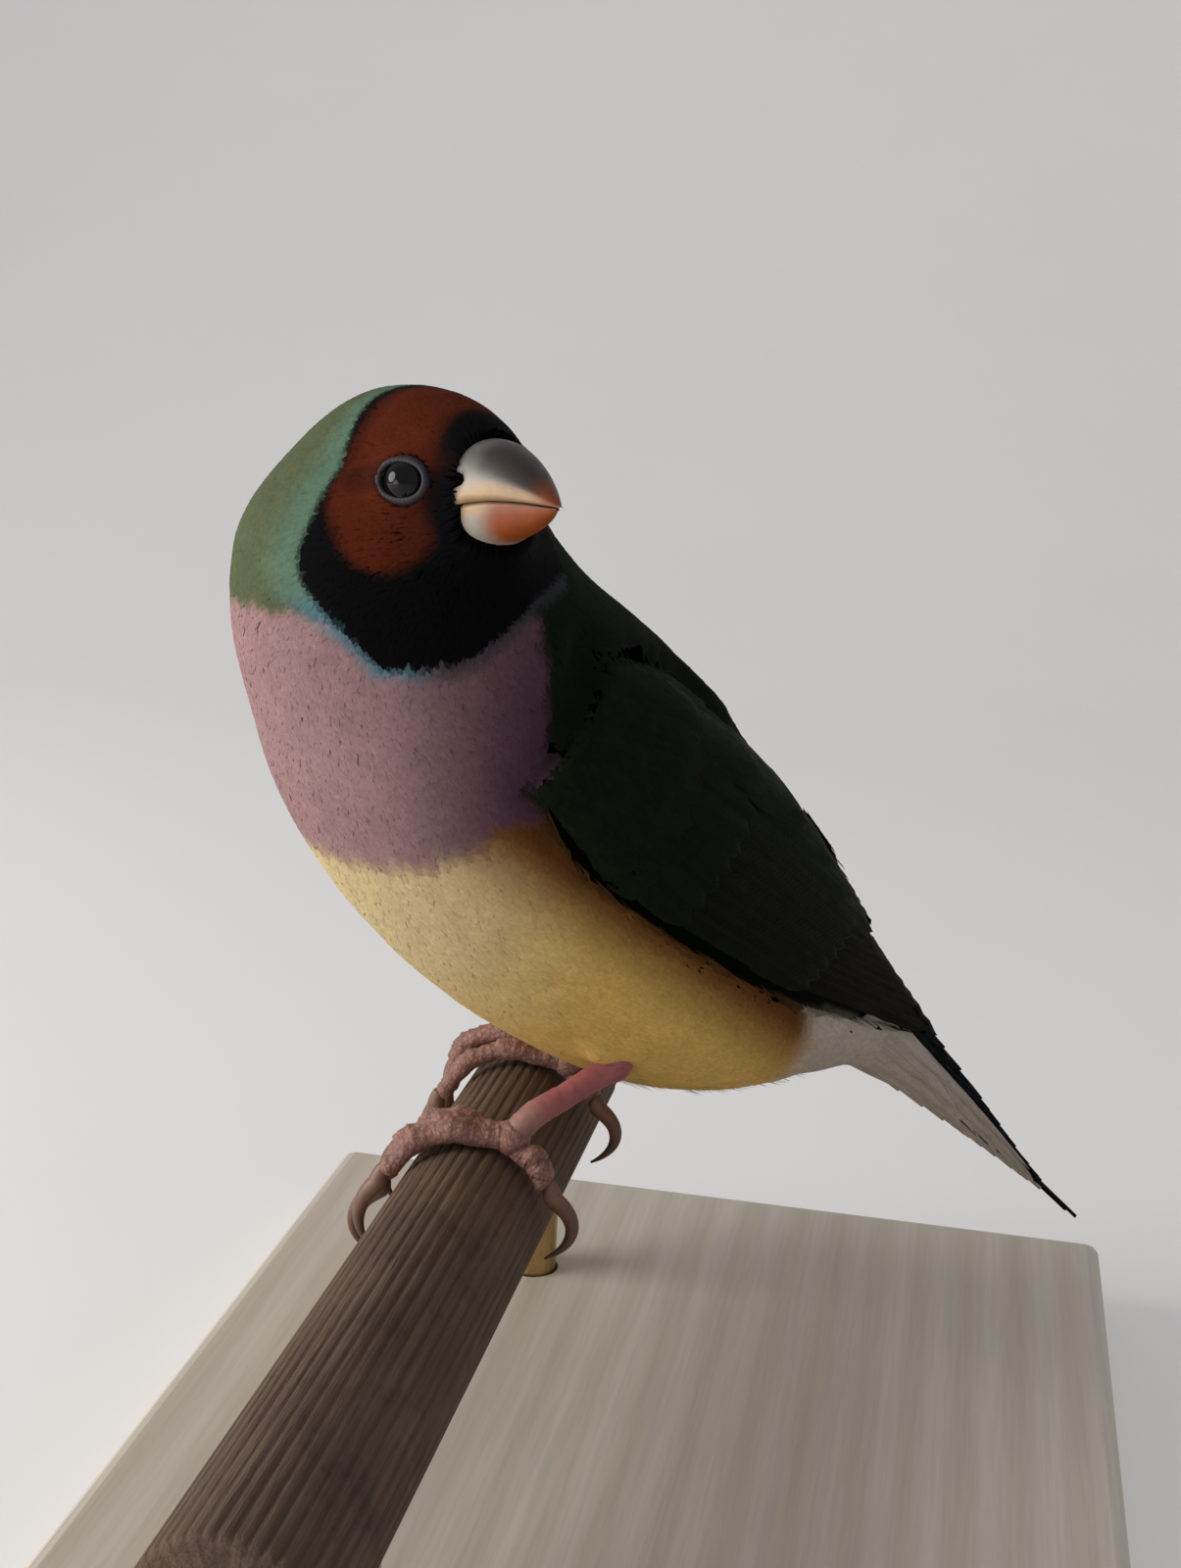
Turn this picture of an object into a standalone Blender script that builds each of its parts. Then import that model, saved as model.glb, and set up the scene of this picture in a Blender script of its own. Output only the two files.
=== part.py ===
"""A male Gouldian finch, life size, perched on a cut length of reeded dowel on a plain display stand.

The bird looks over its left shoulder. Metres, +Z up, origin under the middle of the stand's base.
Body points are written (forward, left, up) from the perch's axis midway between the feet, in the
body's own frame. Head points are written the same way from the middle of the head.
"""

import math

import bmesh
import bpy
import numpy as np
from mathutils import Matrix, Vector

MM = 0.001
GAP = 0.32 * MM

# Stand and perch
BASE_SIZE = (0.088, 0.120, 0.008)
BASE_ROUNDING = 1.5 * MM
PERCH_RADIUS = 6.8 * MM
PERCH_FLUTES = 40
FLUTE_DEPTH = 0.15 * MM
PERCH_CENTRE_X = -16.0 * MM
PERCH_CENTRE_Z = 27.5 * MM
PERCH_FRONT_Y = -57.0 * MM
PERCH_BACK_Y = 45.0 * MM
ROD_RADIUS = 2.5 * MM
ROD_PLACES_Y = (-0.030, 0.036)
ROD_TOP = PERCH_CENTRE_Z - PERCH_RADIUS + 2.4 * MM
SOCKET_TOP = ROD_TOP + 0.3 * MM
ROD_BOTTOM = 4.0 * MM
FOOT_Y = {"left": 2.5 * MM, "right": 24.5 * MM}

# Pose
BODY_YAW = math.radians(38.0)
HEAD_TURN = math.radians(101.0)
HEAD_PITCH = math.radians(11.0)
HEAD_MIDDLE = (10.6 * MM, 1.5 * MM, 62.7 * MM)

# Torso: depths below and above a straight axis that rises from the vent to the neck
TORSO_START = (-34.0 * MM, 7.0 * MM)
TORSO_SLOPE = math.radians(44.4)
TORSO_STATIONS = (5.0, 9.0, 14.0, 23.0, 34.5, 42.0, 49.0, 56.0, 62.0, 68.0, 73.0)
TORSO_BELOW = (2.3, 4.8, 9.2, 14.8, 18.2, 18.9, 18.3, 16.4, 13.2, 9.6, 6.0)
TORSO_ABOVE = (9.5, 11.5, 14.0, 16.3, 17.6, 17.4, 16.6, 15.0, 13.0, 11.0, 8.0)
TORSO_BREADTH = 0.98
NECK_MIDDLE = (10.0 * MM, -0.5 * MM, 55.5 * MM)
NECK_RADIUS = 11.4 * MM

# Head: a row of balls from the nape to the bill, as (forward, up, radius) in mm
HEAD_BALLS = ((0.0, 0.0, 10.2), (3.0, 0.2, 9.2), (6.0, 0.3, 7.8), (9.0, 0.3, 6.3), (11.0, 0.3, 5.3))
HEAD_NARROWING = 0.24
THROAT_BALL = (2.5, -6.0, 8.2)
EYE_PLACE = (8.5 * MM, 6.4 * MM, 1.9 * MM)
EYE_OUT = (0.52, 0.84, 0.10)
EYE_DEPTH = 1.0 * MM
EYE_RADIUS = 1.95 * MM
LID_THICKNESS = 0.42 * MM

# Bill, from the feathers at its root
BILL_ROOT = 11.4 * MM
BILL_LENGTH = 9.0 * MM
BILL_HALF_WIDTH = 3.8 * MM
BILL_TOP = 4.7 * MM
BILL_MOUTH = -0.5 * MM
BILL_BOTTOM = -4.2 * MM
BILL_TIP_UP = -1.5 * MM
BILL_PLUG = 1.5 * MM

# Folded wing: a curved sheet over a row of balls, as (forward, up, radius) in mm
WING_BALLS = ((14.0, 53.0, 13.6), (10.0, 48.4, 16.0), (4.0, 41.5, 18.0), (-4.0, 34.8, 18.6),
              (-12.0, 28.8, 17.6), (-20.0, 23.6, 15.6), (-28.0, 18.6, 12.6), (-36.0, 14.2, 9.4),
              (-44.0, 9.8, 6.4), (-52.0, 5.4, 4.4))
WRIST = (3.0 * MM, 44.0 * MM)
WING_SLOPE = math.radians(34.5)
WING_STATIONS = (0.0, 8.0, 22.0, 37.0, 48.7, 62.0)
WING_LOWER_EDGE = (-4.0, -6.9, -7.0, -5.4, -3.2, -0.5)
WING_UPPER_EDGE = (9.0, 12.6, 12.0, 8.4, 5.6, 1.6)
WING_SINK = 2.6 * MM
CORE_REACH = (0.5, 46.0)
PRIMARIES = 7
SECONDARIES = 5
TERTIALS = 3
GREATER_COVERTS = 7
MEDIAN_COVERTS = 6
VANE_STATIONS = (0.0, 0.4, 0.78, 0.93, 1.0)
VANE_THICKNESS = 0.6

# Tail
TAIL_ROOT = (-38.0 * MM, 14.0 * MM)
TAIL_SLOPE = math.radians(41.5)
TAIL_LENGTH = 45.0 * MM
TAIL_PAIRS = (44.6, 34.0, 31.0, 28.5, 26.0, 23.5)
TAIL_STATIONS = (0.0, 0.3, 0.55, 0.7, 0.82, 0.92, 1.0)
TAIL_HALF_WIDTH = (3.4, 4.4, 4.4, 3.6, 2.1, 1.2, 0.45)
TAIL_HALF_THICKNESS = (1.3, 1.2, 0.9, 0.75, 0.6, 0.5, 0.4)

# Feathers under and over the tail's root, as (forward, up, radius) in mm
VENT_BALLS = ((-30.0, 18.5, 9.6), (-36.0, 15.2, 7.2), (-40.5, 11.6, 5.0), (-45.0, 7.8, 3.6), (-51.5, 2.0, 2.4),
              (-59.0, -4.6, 1.3))

# Eye lids and mouth
LID_RADIUS = 1.95 * MM
LID_OUT = 1.3 * MM
LID_STEPS = 20
MOUTH_BOW = 0.5 * MM

# Feet: 0 degrees is the perch's top, the bird faces the positive side, and distances along the perch are from the
# foot's own place. Each toe has its start (along, degrees), its end, its radius and how far its knuckles arch; each
# claw how far it runs along and turns on round the perch, how much of its arc it closes, and how far it arches.
FOOT_HUBS = {"left": (3.0, -25.0), "right": (2.4, -32.0)}
HUB_RADIUS = 1.55 * MM
TOE_PLANS = {
    "left": {
        "outer": ((2.4, -16.0), (0.2, 60.0), 1.20, 0.4),
        "middle": ((2.8, -14.0), (3.6, 74.0), 1.25, 0.4),
        "inner": ((3.4, -14.0), (7.4, 54.0), 1.10, 0.4),
        "hind": ((2.8, -33.0), (1.4, -60.0), 1.25, 0.3),
    },
    "right": {
        "inner": ((1.8, -24.0), (0.2, 72.0), 1.10, 0.4),
        "middle": ((2.6, -24.0), (4.8, 80.0), 1.20, 1.2),
        "outer": ((3.0, -24.0), (8.4, 46.0), 1.15, 0.4),
        "hind": ((2.2, -40.0), (1.2, -60.0), 1.25, 0.3),
    },
}
CLAW_PLANS = {
    "left": {"outer": (-0.6, 42.0, 0.85, 1.1), "middle": (-0.2, 40.0, 0.80, 2.8), "inner": (0.4, 42.0, 0.90, 1.0),
             "hind": (-1.3, -36.0, 1.0, 1.5)},
    "right": {"outer": (-0.6, 42.0, 0.90, 1.0), "middle": (-0.2, 42.0, 0.90, 1.2), "inner": (0.4, 42.0, 0.90, 1.0),
              "hind": (-1.3, -36.0, 1.0, 1.5)},
}
CLAW_SKIP = 8.0
CLAW_RADIUS = 0.75 * MM
HEELS = {"left": (-8.2 * MM, 8.5 * MM, 13.5 * MM), "right": (-21.0 * MM, -8.8 * MM, 14.0 * MM)}
KNEES = {"left": (-3.5 * MM, 9.0 * MM, 20.0 * MM), "right": (-15.0 * MM, -9.0 * MM, 20.0 * MM)}

FLESH_TRIANGLES = 3200
FINE_VOXEL = 0.9 * MM


# Frames

def perch_point(y):
    return Vector((PERCH_CENTRE_X, y, PERCH_CENTRE_Z))


def body_frame():
    middle = (FOOT_Y["left"] + FOOT_Y["right"]) / 2
    turn = Matrix.Rotation(math.pi + BODY_YAW, 4, "Z")
    return Matrix.Translation(perch_point(middle)) @ turn


def head_frame():
    turn = Matrix.Rotation(HEAD_TURN, 4, "Z") @ Matrix.Rotation(-HEAD_PITCH, 4, "Y")
    return body_frame() @ Matrix.Translation(HEAD_MIDDLE) @ turn


BODY = body_frame()
HEAD = head_frame()


def moved(points, matrix):
    """The points of an array, carried by a 4x4 matrix."""
    m = np.array(matrix)
    return np.asarray(points) @ m[:3, :3].T + m[:3, 3]


# Smooth rows of numbers

def smooth_through(at, knots, values):
    """A curve through the knots with no corners: a cubic Hermite with averaged slopes."""
    at, knots, values = np.atleast_1d(at).astype(float), np.array(knots, float), np.array(values, float)
    if values.ndim == 1:
        values = values[:, None]
    step = np.diff(knots)[:, None]
    rise = np.diff(values, axis=0) / step
    slope = np.vstack([rise[:1], (rise[1:] + rise[:-1]) / 2, rise[-1:]])
    i = np.clip(np.searchsorted(knots, at, side="right") - 1, 0, len(knots) - 2)
    t = np.clip((at - knots[i]) / (knots[i + 1] - knots[i]), 0, 1)[:, None]
    h = knots[i + 1, None] - knots[i, None]
    out = ((1 + 2 * t) * (1 - t) ** 2 * values[i] + t * (1 - t) ** 2 * h * slope[i]
           + t * t * (3 - 2 * t) * values[i + 1] + t * t * (t - 1) * h * slope[i + 1])
    return out[:, 0] if out.shape[1] == 1 else out


def through(at, knots, values):
    """One number from smooth_through."""
    return float(smooth_through(at, knots, values)[0])


def ball_row(knot_rows, count):
    """A dense row of balls through coarse (forward, up, radius) ones, in metres."""
    knots = np.arange(len(knot_rows))
    rows = smooth_through(np.linspace(0, len(knot_rows) - 1, count), knots, knot_rows) * MM
    centres = np.stack([rows[:, 0], np.zeros(count), rows[:, 1]], axis=1)
    return centres, rows[:, 2]


def torso_balls(count=50):
    s = np.linspace(TORSO_STATIONS[0], TORSO_STATIONS[-1], count)
    below = smooth_through(s, TORSO_STATIONS, TORSO_BELOW)
    above = smooth_through(s, TORSO_STATIONS, TORSO_ABOVE)
    offset = (below - above) / 2
    forward = TORSO_START[0] / MM + s * math.cos(TORSO_SLOPE) + offset * math.sin(TORSO_SLOPE)
    up = TORSO_START[1] / MM + s * math.sin(TORSO_SLOPE) - offset * math.cos(TORSO_SLOPE)
    centres = np.stack([forward, np.zeros(count), up], axis=1) * MM
    return centres, (below + above) / 2 * MM


TORSO = torso_balls()
WING_SHEET = ball_row(WING_BALLS, 60)
HEAD_ROW = ball_row(HEAD_BALLS, 16)
VENT = ball_row(VENT_BALLS, 24)


# The body as one smooth distance field, negative inside

def to_balls(points, balls, breadth=1.0):
    """Distance from the points to the nearest surface of a row of balls, which may be narrowed sideways."""
    centres, radii = balls
    squeezed = points / np.array([1.0, breadth, 1.0])
    away = np.linalg.norm(squeezed[:, None, :] - centres[None], axis=2) - radii[None]
    return away.min(axis=1)


def blend(a, b, softness):
    """The smaller of two distances, rounded where they are close."""
    share = np.clip(0.5 + 0.5 * (b - a) / softness, 0, 1)
    return b * (1 - share) + a * share - softness * share * (1 - share)


def soft_step(x):
    t = np.clip(x, 0, 1)
    return t * t * (3 - 2 * t)


def wing_flat(points):
    """Body points in the folded wing's own plane: along it from the wrist, and across it towards the back."""
    forward, up = points[:, 0] - WRIST[0], points[:, 2] - WRIST[1]
    along = -forward * math.cos(WING_SLOPE) - up * math.sin(WING_SLOPE)
    across = -forward * math.sin(WING_SLOPE) + up * math.cos(WING_SLOPE)
    return along, across


def wing_bed(points):
    """1 where a folded wing lies on the body, fading to 0 past its outline."""
    along, across = wing_flat(points)
    x = along / MM
    low = smooth_through(x, WING_STATIONS, WING_LOWER_EDGE)
    high = smooth_through(x, WING_STATIONS, WING_UPPER_EDGE)
    inside = np.minimum(np.minimum(across / MM - low, high - across / MM) + 2.2, x + 4.0)
    return soft_step(inside / 2.6 + 0.45)


def body_distance(points):
    torso = to_balls(points, TORSO, TORSO_BREADTH)
    neck = np.linalg.norm(points - np.array(NECK_MIDDLE), axis=1) - NECK_RADIUS
    in_head = moved(points, (BODY.inverted() @ HEAD).inverted())
    in_head[:, 1] /= 1 - HEAD_NARROWING * soft_step(in_head[:, 0] / (12 * MM))
    head = to_balls(in_head, HEAD_ROW)
    throat_middle = np.array([THROAT_BALL[0], 0, THROAT_BALL[1]]) * MM
    throat = np.linalg.norm(in_head - throat_middle, axis=1) - THROAT_BALL[2] * MM
    field = blend(torso, neck, 7 * MM)
    field = blend(field, to_balls(points, VENT), 3 * MM)
    field = blend(field, blend(head, throat, 4 * MM), 3.5 * MM)
    bed = wing_bed(points)
    floor = to_balls(points, WING_SHEET) + WING_SINK
    return np.where(bed > 0, -blend(-field, (1 - bed) * 9 * MM - floor, 0.8 * MM), field)


def settle(points, field, level=0.0, rounds=6):
    """Moves points along the field's slope on to the surface where the field equals level."""
    reach = 0.05 * MM
    for _ in range(rounds):
        value = field(points) - level
        slope = np.stack([(field(points + step) - field(points - step)) / (2 * reach)
                          for step in np.eye(3) * reach], axis=1)
        points = points - value[:, None] * slope / np.maximum((slope ** 2).sum(axis=1), 0.2)[:, None]
    return points


# Scene, materials and mesh helpers

def clear_scene():
    for obj in list(bpy.data.objects):
        bpy.data.objects.remove(obj)


def new_collection(name):
    collection = bpy.data.collections.new(name)
    bpy.context.scene.collection.children.link(collection)
    return collection


def material(name, colour, roughness, metallic=0.0):
    found = bpy.data.materials.get(name)
    if found:
        return found
    made = bpy.data.materials.new(name)
    made.use_nodes = True
    shader = made.node_tree.nodes["Principled BSDF"]
    shader.inputs["Base Color"].default_value = (*colour, 1.0)
    shader.inputs["Roughness"].default_value = roughness
    shader.inputs["Metallic"].default_value = metallic
    made.diffuse_color = (*colour, 1.0)
    return made


FINISHES = {
    "mask_red": ((0.36, 0.07, 0.02), 0.8),
    "breast_mauve": ((0.42, 0.24, 0.36), 0.8),
    "belly_yellow": ((0.70, 0.46, 0.10), 0.8),
    "wing_green": ((0.05, 0.11, 0.04), 0.65),
    "tail_dark": ((0.02, 0.025, 0.03), 0.6),
    "covert_white": ((0.60, 0.57, 0.52), 0.8),
    "bill_ivory": ((0.62, 0.55, 0.45), 0.4),
    "eye_dark": ((0.012, 0.010, 0.010), 0.08),
    "leg_pink": ((0.42, 0.20, 0.17), 0.6),
    "claw_horn": ((0.30, 0.20, 0.15), 0.4),
    "perch_wood": ((0.26, 0.18, 0.12), 0.8),
    "stand_wood": ((0.55, 0.42, 0.28), 0.6),
    "stand_metal": ((0.55, 0.50, 0.42), 0.35, 1.0),
}


def finish(obj, name):
    obj.data.materials.clear()
    obj.data.materials.append(material(name, *FINISHES[name]))
    return obj


def add_mesh(name, points, faces, collection):
    mesh = bpy.data.meshes.new(name)
    mesh.from_pydata([tuple(p) for p in points], [], [tuple(f) for f in faces])
    mesh.validate()
    obj = bpy.data.objects.new(name, mesh)
    collection.objects.link(obj)
    face_outwards(mesh)
    return obj


def face_outwards(mesh):
    work = bmesh.new()
    work.from_mesh(mesh)
    bmesh.ops.recalc_face_normals(work, faces=work.faces)
    if work.calc_volume(signed=True) < 0:
        bmesh.ops.reverse_faces(work, faces=work.faces)
    work.to_mesh(mesh)
    work.free()


def evaluated_copy(obj, name, collection):
    """A mesh object holding obj with its modifiers applied, in world space. obj is removed."""
    graph = bpy.context.evaluated_depsgraph_get()
    mesh = bpy.data.meshes.new_from_object(obj.evaluated_get(graph))
    mesh.transform(obj.matrix_world)
    bpy.data.objects.remove(obj)
    mesh.name = name
    made = bpy.data.objects.new(name, mesh)
    collection.objects.link(made)
    return made


def weld(mesh, distance=0.00001):
    work = bmesh.new()
    work.from_mesh(mesh)
    bmesh.ops.remove_doubles(work, verts=work.verts, dist=distance)
    bmesh.ops.recalc_face_normals(work, faces=work.faces)
    work.to_mesh(mesh)
    work.free()


def keep_largest(mesh):
    """Leaves only the closed surface with the most faces."""
    work = bmesh.new()
    work.from_mesh(mesh)
    unseen, groups = set(work.verts), []
    while unseen:
        group, front = set(), [unseen.pop()]
        while front:
            vert = front.pop()
            group.add(vert)
            for edge in vert.link_edges:
                other = edge.other_vert(vert)
                if other in unseen:
                    unseen.discard(other)
                    front.append(other)
        groups.append(group)
    largest = max(groups, key=len)
    bmesh.ops.delete(work, geom=[v for v in work.verts if v not in largest], context="VERTS")
    bmesh.ops.triangulate(work, faces=work.faces)
    work.to_mesh(mesh)
    work.free()


def boolean(obj, operation, others, solver="MANIFOLD"):
    """Applies one Boolean on a collection of closed mesh objects, which are then removed."""
    cutters = bpy.data.collections.new("joining")
    bpy.context.scene.collection.children.link(cutters)
    for other in others:
        for home in list(other.users_collection):
            home.objects.unlink(other)
        cutters.objects.link(other)
    modifier = obj.modifiers.new("join", "BOOLEAN")
    modifier.operation = operation
    modifier.operand_type = "COLLECTION"
    modifier.collection = cutters
    modifier.solver = solver
    bpy.context.view_layer.update()
    graph = bpy.context.evaluated_depsgraph_get()
    mesh = bpy.data.meshes.new_from_object(obj.evaluated_get(graph))
    obj.modifiers.clear()
    obj.data = mesh
    for other in list(cutters.objects):
        bpy.data.objects.remove(other)
    bpy.data.collections.remove(cutters)
    keep_largest(obj.data)
    return obj


def tapered_tube(name, points, radii, collection, resolution=2):
    """A tube through the points, as thick at each as its radius says, with closed ends."""
    curve = bpy.data.curves.new(name, "CURVE")
    curve.dimensions = "3D"
    curve.bevel_depth = 1.0
    curve.bevel_resolution = resolution
    curve.use_fill_caps = True
    spline = curve.splines.new("POLY")
    spline.points.add(len(points) - 1)
    for slot, point, radius in zip(spline.points, points, radii):
        slot.co = (*point, 1.0)
        slot.radius = radius
    obj = bpy.data.objects.new(name, curve)
    collection.objects.link(obj)
    bpy.context.view_layer.update()
    made = evaluated_copy(obj, name, collection)
    weld(made.data)
    return made


def ball(name, place, radius, collection, segments=16, rings=10, stretch=(1, 1, 1)):
    mesh = bpy.data.meshes.new(name)
    work = bmesh.new()
    size = Matrix.Diagonal((*stretch, 1.0))
    bmesh.ops.create_uvsphere(work, u_segments=segments, v_segments=rings, radius=radius)
    bmesh.ops.transform(work, matrix=place @ size, verts=work.verts)
    work.to_mesh(mesh)
    work.free()
    obj = bpy.data.objects.new(name, mesh)
    collection.objects.link(obj)
    return obj


def block(name, frame, low, high, collection):
    """A box between two corners given in a frame."""
    mesh = bpy.data.meshes.new(name)
    work = bmesh.new()
    bmesh.ops.create_cube(work, size=1.0)
    low, high = Vector(low), Vector(high)
    middle = Matrix.Translation((low + high) / 2) @ Matrix.Diagonal((*(high - low), 1.0))
    bmesh.ops.transform(work, matrix=frame @ middle, verts=work.verts)
    work.to_mesh(mesh)
    work.free()
    obj = bpy.data.objects.new(name, mesh)
    collection.objects.link(obj)
    return obj


def smooth_shading(obj, angle=40.0):
    obj.data.shade_smooth()
    obj.data.set_sharp_from_angle(angle=math.radians(angle))
    return obj


# Flesh

def flesh_mesh(collection):
    """The head, neck and torso as one closed skin on the body's distance field."""
    seeds = []
    rows = (("torso", TORSO, BODY), ("head", HEAD_ROW, HEAD), ("vent", VENT, BODY))
    for name, (centres, radii), frame in rows:
        for centre, radius in zip(centres[::2], radii[::2]):
            place = frame @ Matrix.Translation(centre)
            seeds.append(ball(name, place, radius, collection, 20, 12))
    seeds.append(ball("neck", BODY @ Matrix.Translation(NECK_MIDDLE), NECK_RADIUS, collection, 20, 12))
    throat = HEAD @ Matrix.Translation(Vector((THROAT_BALL[0], 0, THROAT_BALL[1])) * MM)
    seeds.append(ball("throat", throat, THROAT_BALL[2] * MM, collection, 20, 12))
    whole = seeds[0]
    with bpy.context.temp_override(active_object=whole, selected_editable_objects=seeds):
        bpy.ops.object.join()
    remesh = whole.modifiers.new("skin", "REMESH")
    remesh.mode = "VOXEL"
    remesh.voxel_size = FINE_VOXEL
    smooth = whole.modifiers.new("even", "SMOOTH")
    smooth.factor = 0.5
    smooth.iterations = 12
    bpy.context.view_layer.update()
    flesh = evaluated_copy(whole, "flesh", collection)
    points = np.array([v.co[:] for v in flesh.data.vertices])
    local = settle(moved(points, BODY.inverted()), body_distance)
    points = moved(local, BODY)
    for vert, point in zip(flesh.data.vertices, points):
        vert.co = point
    even = flesh.modifiers.new("even", "SMOOTH")
    even.factor = 0.5
    even.iterations = 2
    thin = flesh.modifiers.new("thin", "DECIMATE")
    thin.ratio = 1.0
    bpy.context.view_layer.update()
    count = sum(len(p.vertices) - 2 for p in flesh.data.polygons)
    thin.ratio = min(1.0, FLESH_TRIANGLES / count)
    bpy.context.view_layer.update()
    thinned = evaluated_copy(flesh, "flesh", collection)
    keep_largest(thinned.data)
    return thinned


def bill_rows(part, swell, count=8):
    """Cross-sections of one half of the bill in the head's frame, from inside the head to the tip."""
    upper = part == "upper"
    reach = BILL_LENGTH * (1.0 if upper else 0.955) + swell
    start = BILL_ROOT - BILL_PLUG - swell
    rows = []
    for t in np.linspace(0, 1, count) ** 0.8:
        x = start + (BILL_ROOT + reach - start) * t
        s = max(0.0, (x - BILL_ROOT) / (reach + 0.02 * MM))
        mouth = BILL_MOUTH + (BILL_TIP_UP - BILL_MOUTH) * s ** 2 + MOUTH_BOW * math.sin(math.pi * min(s, 1.0))
        wide = BILL_HALF_WIDTH * (1 - s ** 1.5) ** 0.85 * (1.0 if upper else 0.93)
        if upper:
            tall = (BILL_TOP - BILL_MOUTH) * (1 - s ** 1.75) ** 0.9
        else:
            tall = (BILL_MOUTH - BILL_BOTTOM) * (1 - s ** 1.55) ** 0.9
        inset = 1 - 0.25 * min(1.0, max(0.0, BILL_ROOT - x) / BILL_PLUG)
        wide, tall = wide * inset, tall * inset
        wide, tall = max(wide, 0.22 * MM) + swell, max(tall, 0.22 * MM) + swell
        sign = 1 if upper else -1
        flat = mouth + sign * (GAP / 2 - swell)
        arch = []
        for k in range(11):
            a = math.pi * k / 10
            across = math.copysign(abs(math.cos(a)) ** 0.9, math.cos(a)) * wide
            arch.append((x, across, flat + sign * (tall + swell) * math.sin(a) ** 0.85))
        rows.append(arch)
    return rows


def loft(name, rows, frame, collection):
    """A closed skin through like-numbered rings of points."""
    size = len(rows[0])
    points = [p for row in rows for p in row]
    faces = []
    for i in range(len(rows) - 1):
        for k in range(size):
            m = (k + 1) % size
            faces.append((i * size + k, i * size + m, (i + 1) * size + m, (i + 1) * size + k))
    faces.append(tuple(range(size))[::-1])
    faces.append(tuple((len(rows) - 1) * size + k for k in range(size)))
    return add_mesh(name, moved(np.array(points), frame), faces, collection)


def make_bill(part, collection, swell=0.0):
    return loft("bill_" + part, bill_rows(part, swell), HEAD, collection)


def nostril(side, collection):
    """A short peg across the upper bill's root, taken out of it as a nostril."""
    place = HEAD @ Matrix.Translation((BILL_ROOT + 0.7 * MM, side * 2.9 * MM, 1.35 * MM))
    return ball("nostril", place, 0.75 * MM, collection, 10, 6, (1.0, 1.3, 0.7))


def eye_frame(side):
    """Places the eye at its depth under the head's surface, with z out of the head."""
    out = Vector((EYE_OUT[0], side * EYE_OUT[1], EYE_OUT[2])).normalized()
    turn = out.to_track_quat("Z", "Y").to_matrix().to_4x4()
    start = HEAD @ Vector((EYE_PLACE[0], side * EYE_PLACE[1], EYE_PLACE[2]))
    surface = settle(moved([start], BODY.inverted()), body_distance)[0]
    middle = BODY @ Vector(surface) - HEAD.to_3x3() @ out * EYE_DEPTH
    return Matrix.Translation(middle) @ HEAD.to_3x3().to_4x4() @ turn


def make_eye(side_name, side, collection):
    return ball("eye_" + side_name, eye_frame(side), EYE_RADIUS, collection, 16, 10)


def lid_ring(side, collection):
    """The bare ring of lid round an eye, a little pointed fore and aft."""
    frame = eye_frame(side)
    rows = []
    for k in range(LID_STEPS):
        a = 2 * math.pi * k / LID_STEPS
        round_radius = LID_RADIUS * (1 + 0.06 * math.cos(2 * a))
        row = []
        for j in range(6):
            b = 2 * math.pi * j / 6
            r = round_radius + LID_THICKNESS * math.cos(b)
            row.append((r * math.cos(a), r * math.sin(a), LID_OUT + LID_THICKNESS * math.sin(b)))
        rows.append(row)
    points = [p for row in rows for p in row]
    faces = []
    for i in range(LID_STEPS):
        n = (i + 1) % LID_STEPS
        faces += [(i * 6 + j, i * 6 + (j + 1) % 6, n * 6 + (j + 1) % 6, n * 6 + j) for j in range(6)]
    return add_mesh("lid", moved(np.array(points), frame), faces, collection)


# Wing and tail

def wing_point(side, along, across, depth):
    """A point of the folded wing in the body's frame, depth under the sheet that its outside follows."""
    forward = WRIST[0] - along * math.cos(WING_SLOPE) - across * math.sin(WING_SLOPE)
    up = WRIST[1] - along * math.sin(WING_SLOPE) + across * math.cos(WING_SLOPE)
    centres, radii = WING_SHEET
    room = (radii - depth) ** 2 - (forward - centres[:, 0]) ** 2 - (up - centres[:, 2]) ** 2
    out = math.sqrt(max(room.max(), (0.6 * MM) ** 2))
    return Vector((forward, side * out, up))


def make_vane(name, place, root, tip, width, depths, collection, point=0.0):
    """One feather as a thin ridged leaf from root to tip, laid by place(along, across, depth) in mm.

    point is 0 for a round tip and 1 for one that narrows all the way from its middle.
    """
    root, tip = np.array(root, float), np.array(tip, float)
    aim = (tip - root) / np.linalg.norm(tip - root)
    across = np.array([-aim[1], aim[0]])
    rows = []
    for t in VANE_STATIONS:
        middle = root + (tip - root) * t
        round_end = math.sqrt(max(0.0, 1 - max(0.0, (t - 0.72) / 0.28) ** 2))
        sharp_end = 1 - max(0.0, (t - 0.45) / 0.55) ** 0.8
        shape = min(1.0, 0.5 + 1.6 * t) * (round_end * (1 - point) + sharp_end * point)
        half = max(width / 2 * shape, 0.28)
        depth = depths[0] + (depths[1] - depths[0]) * t
        left, right = middle + across * half, middle - across * half
        rows.append([place(*left, depth + VANE_THICKNESS * 0.45), place(*middle, depth),
                     place(*right, depth + VANE_THICKNESS * 0.45), place(*middle, depth + VANE_THICKNESS)])
    return loft(name, rows, Matrix(), collection)


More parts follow.
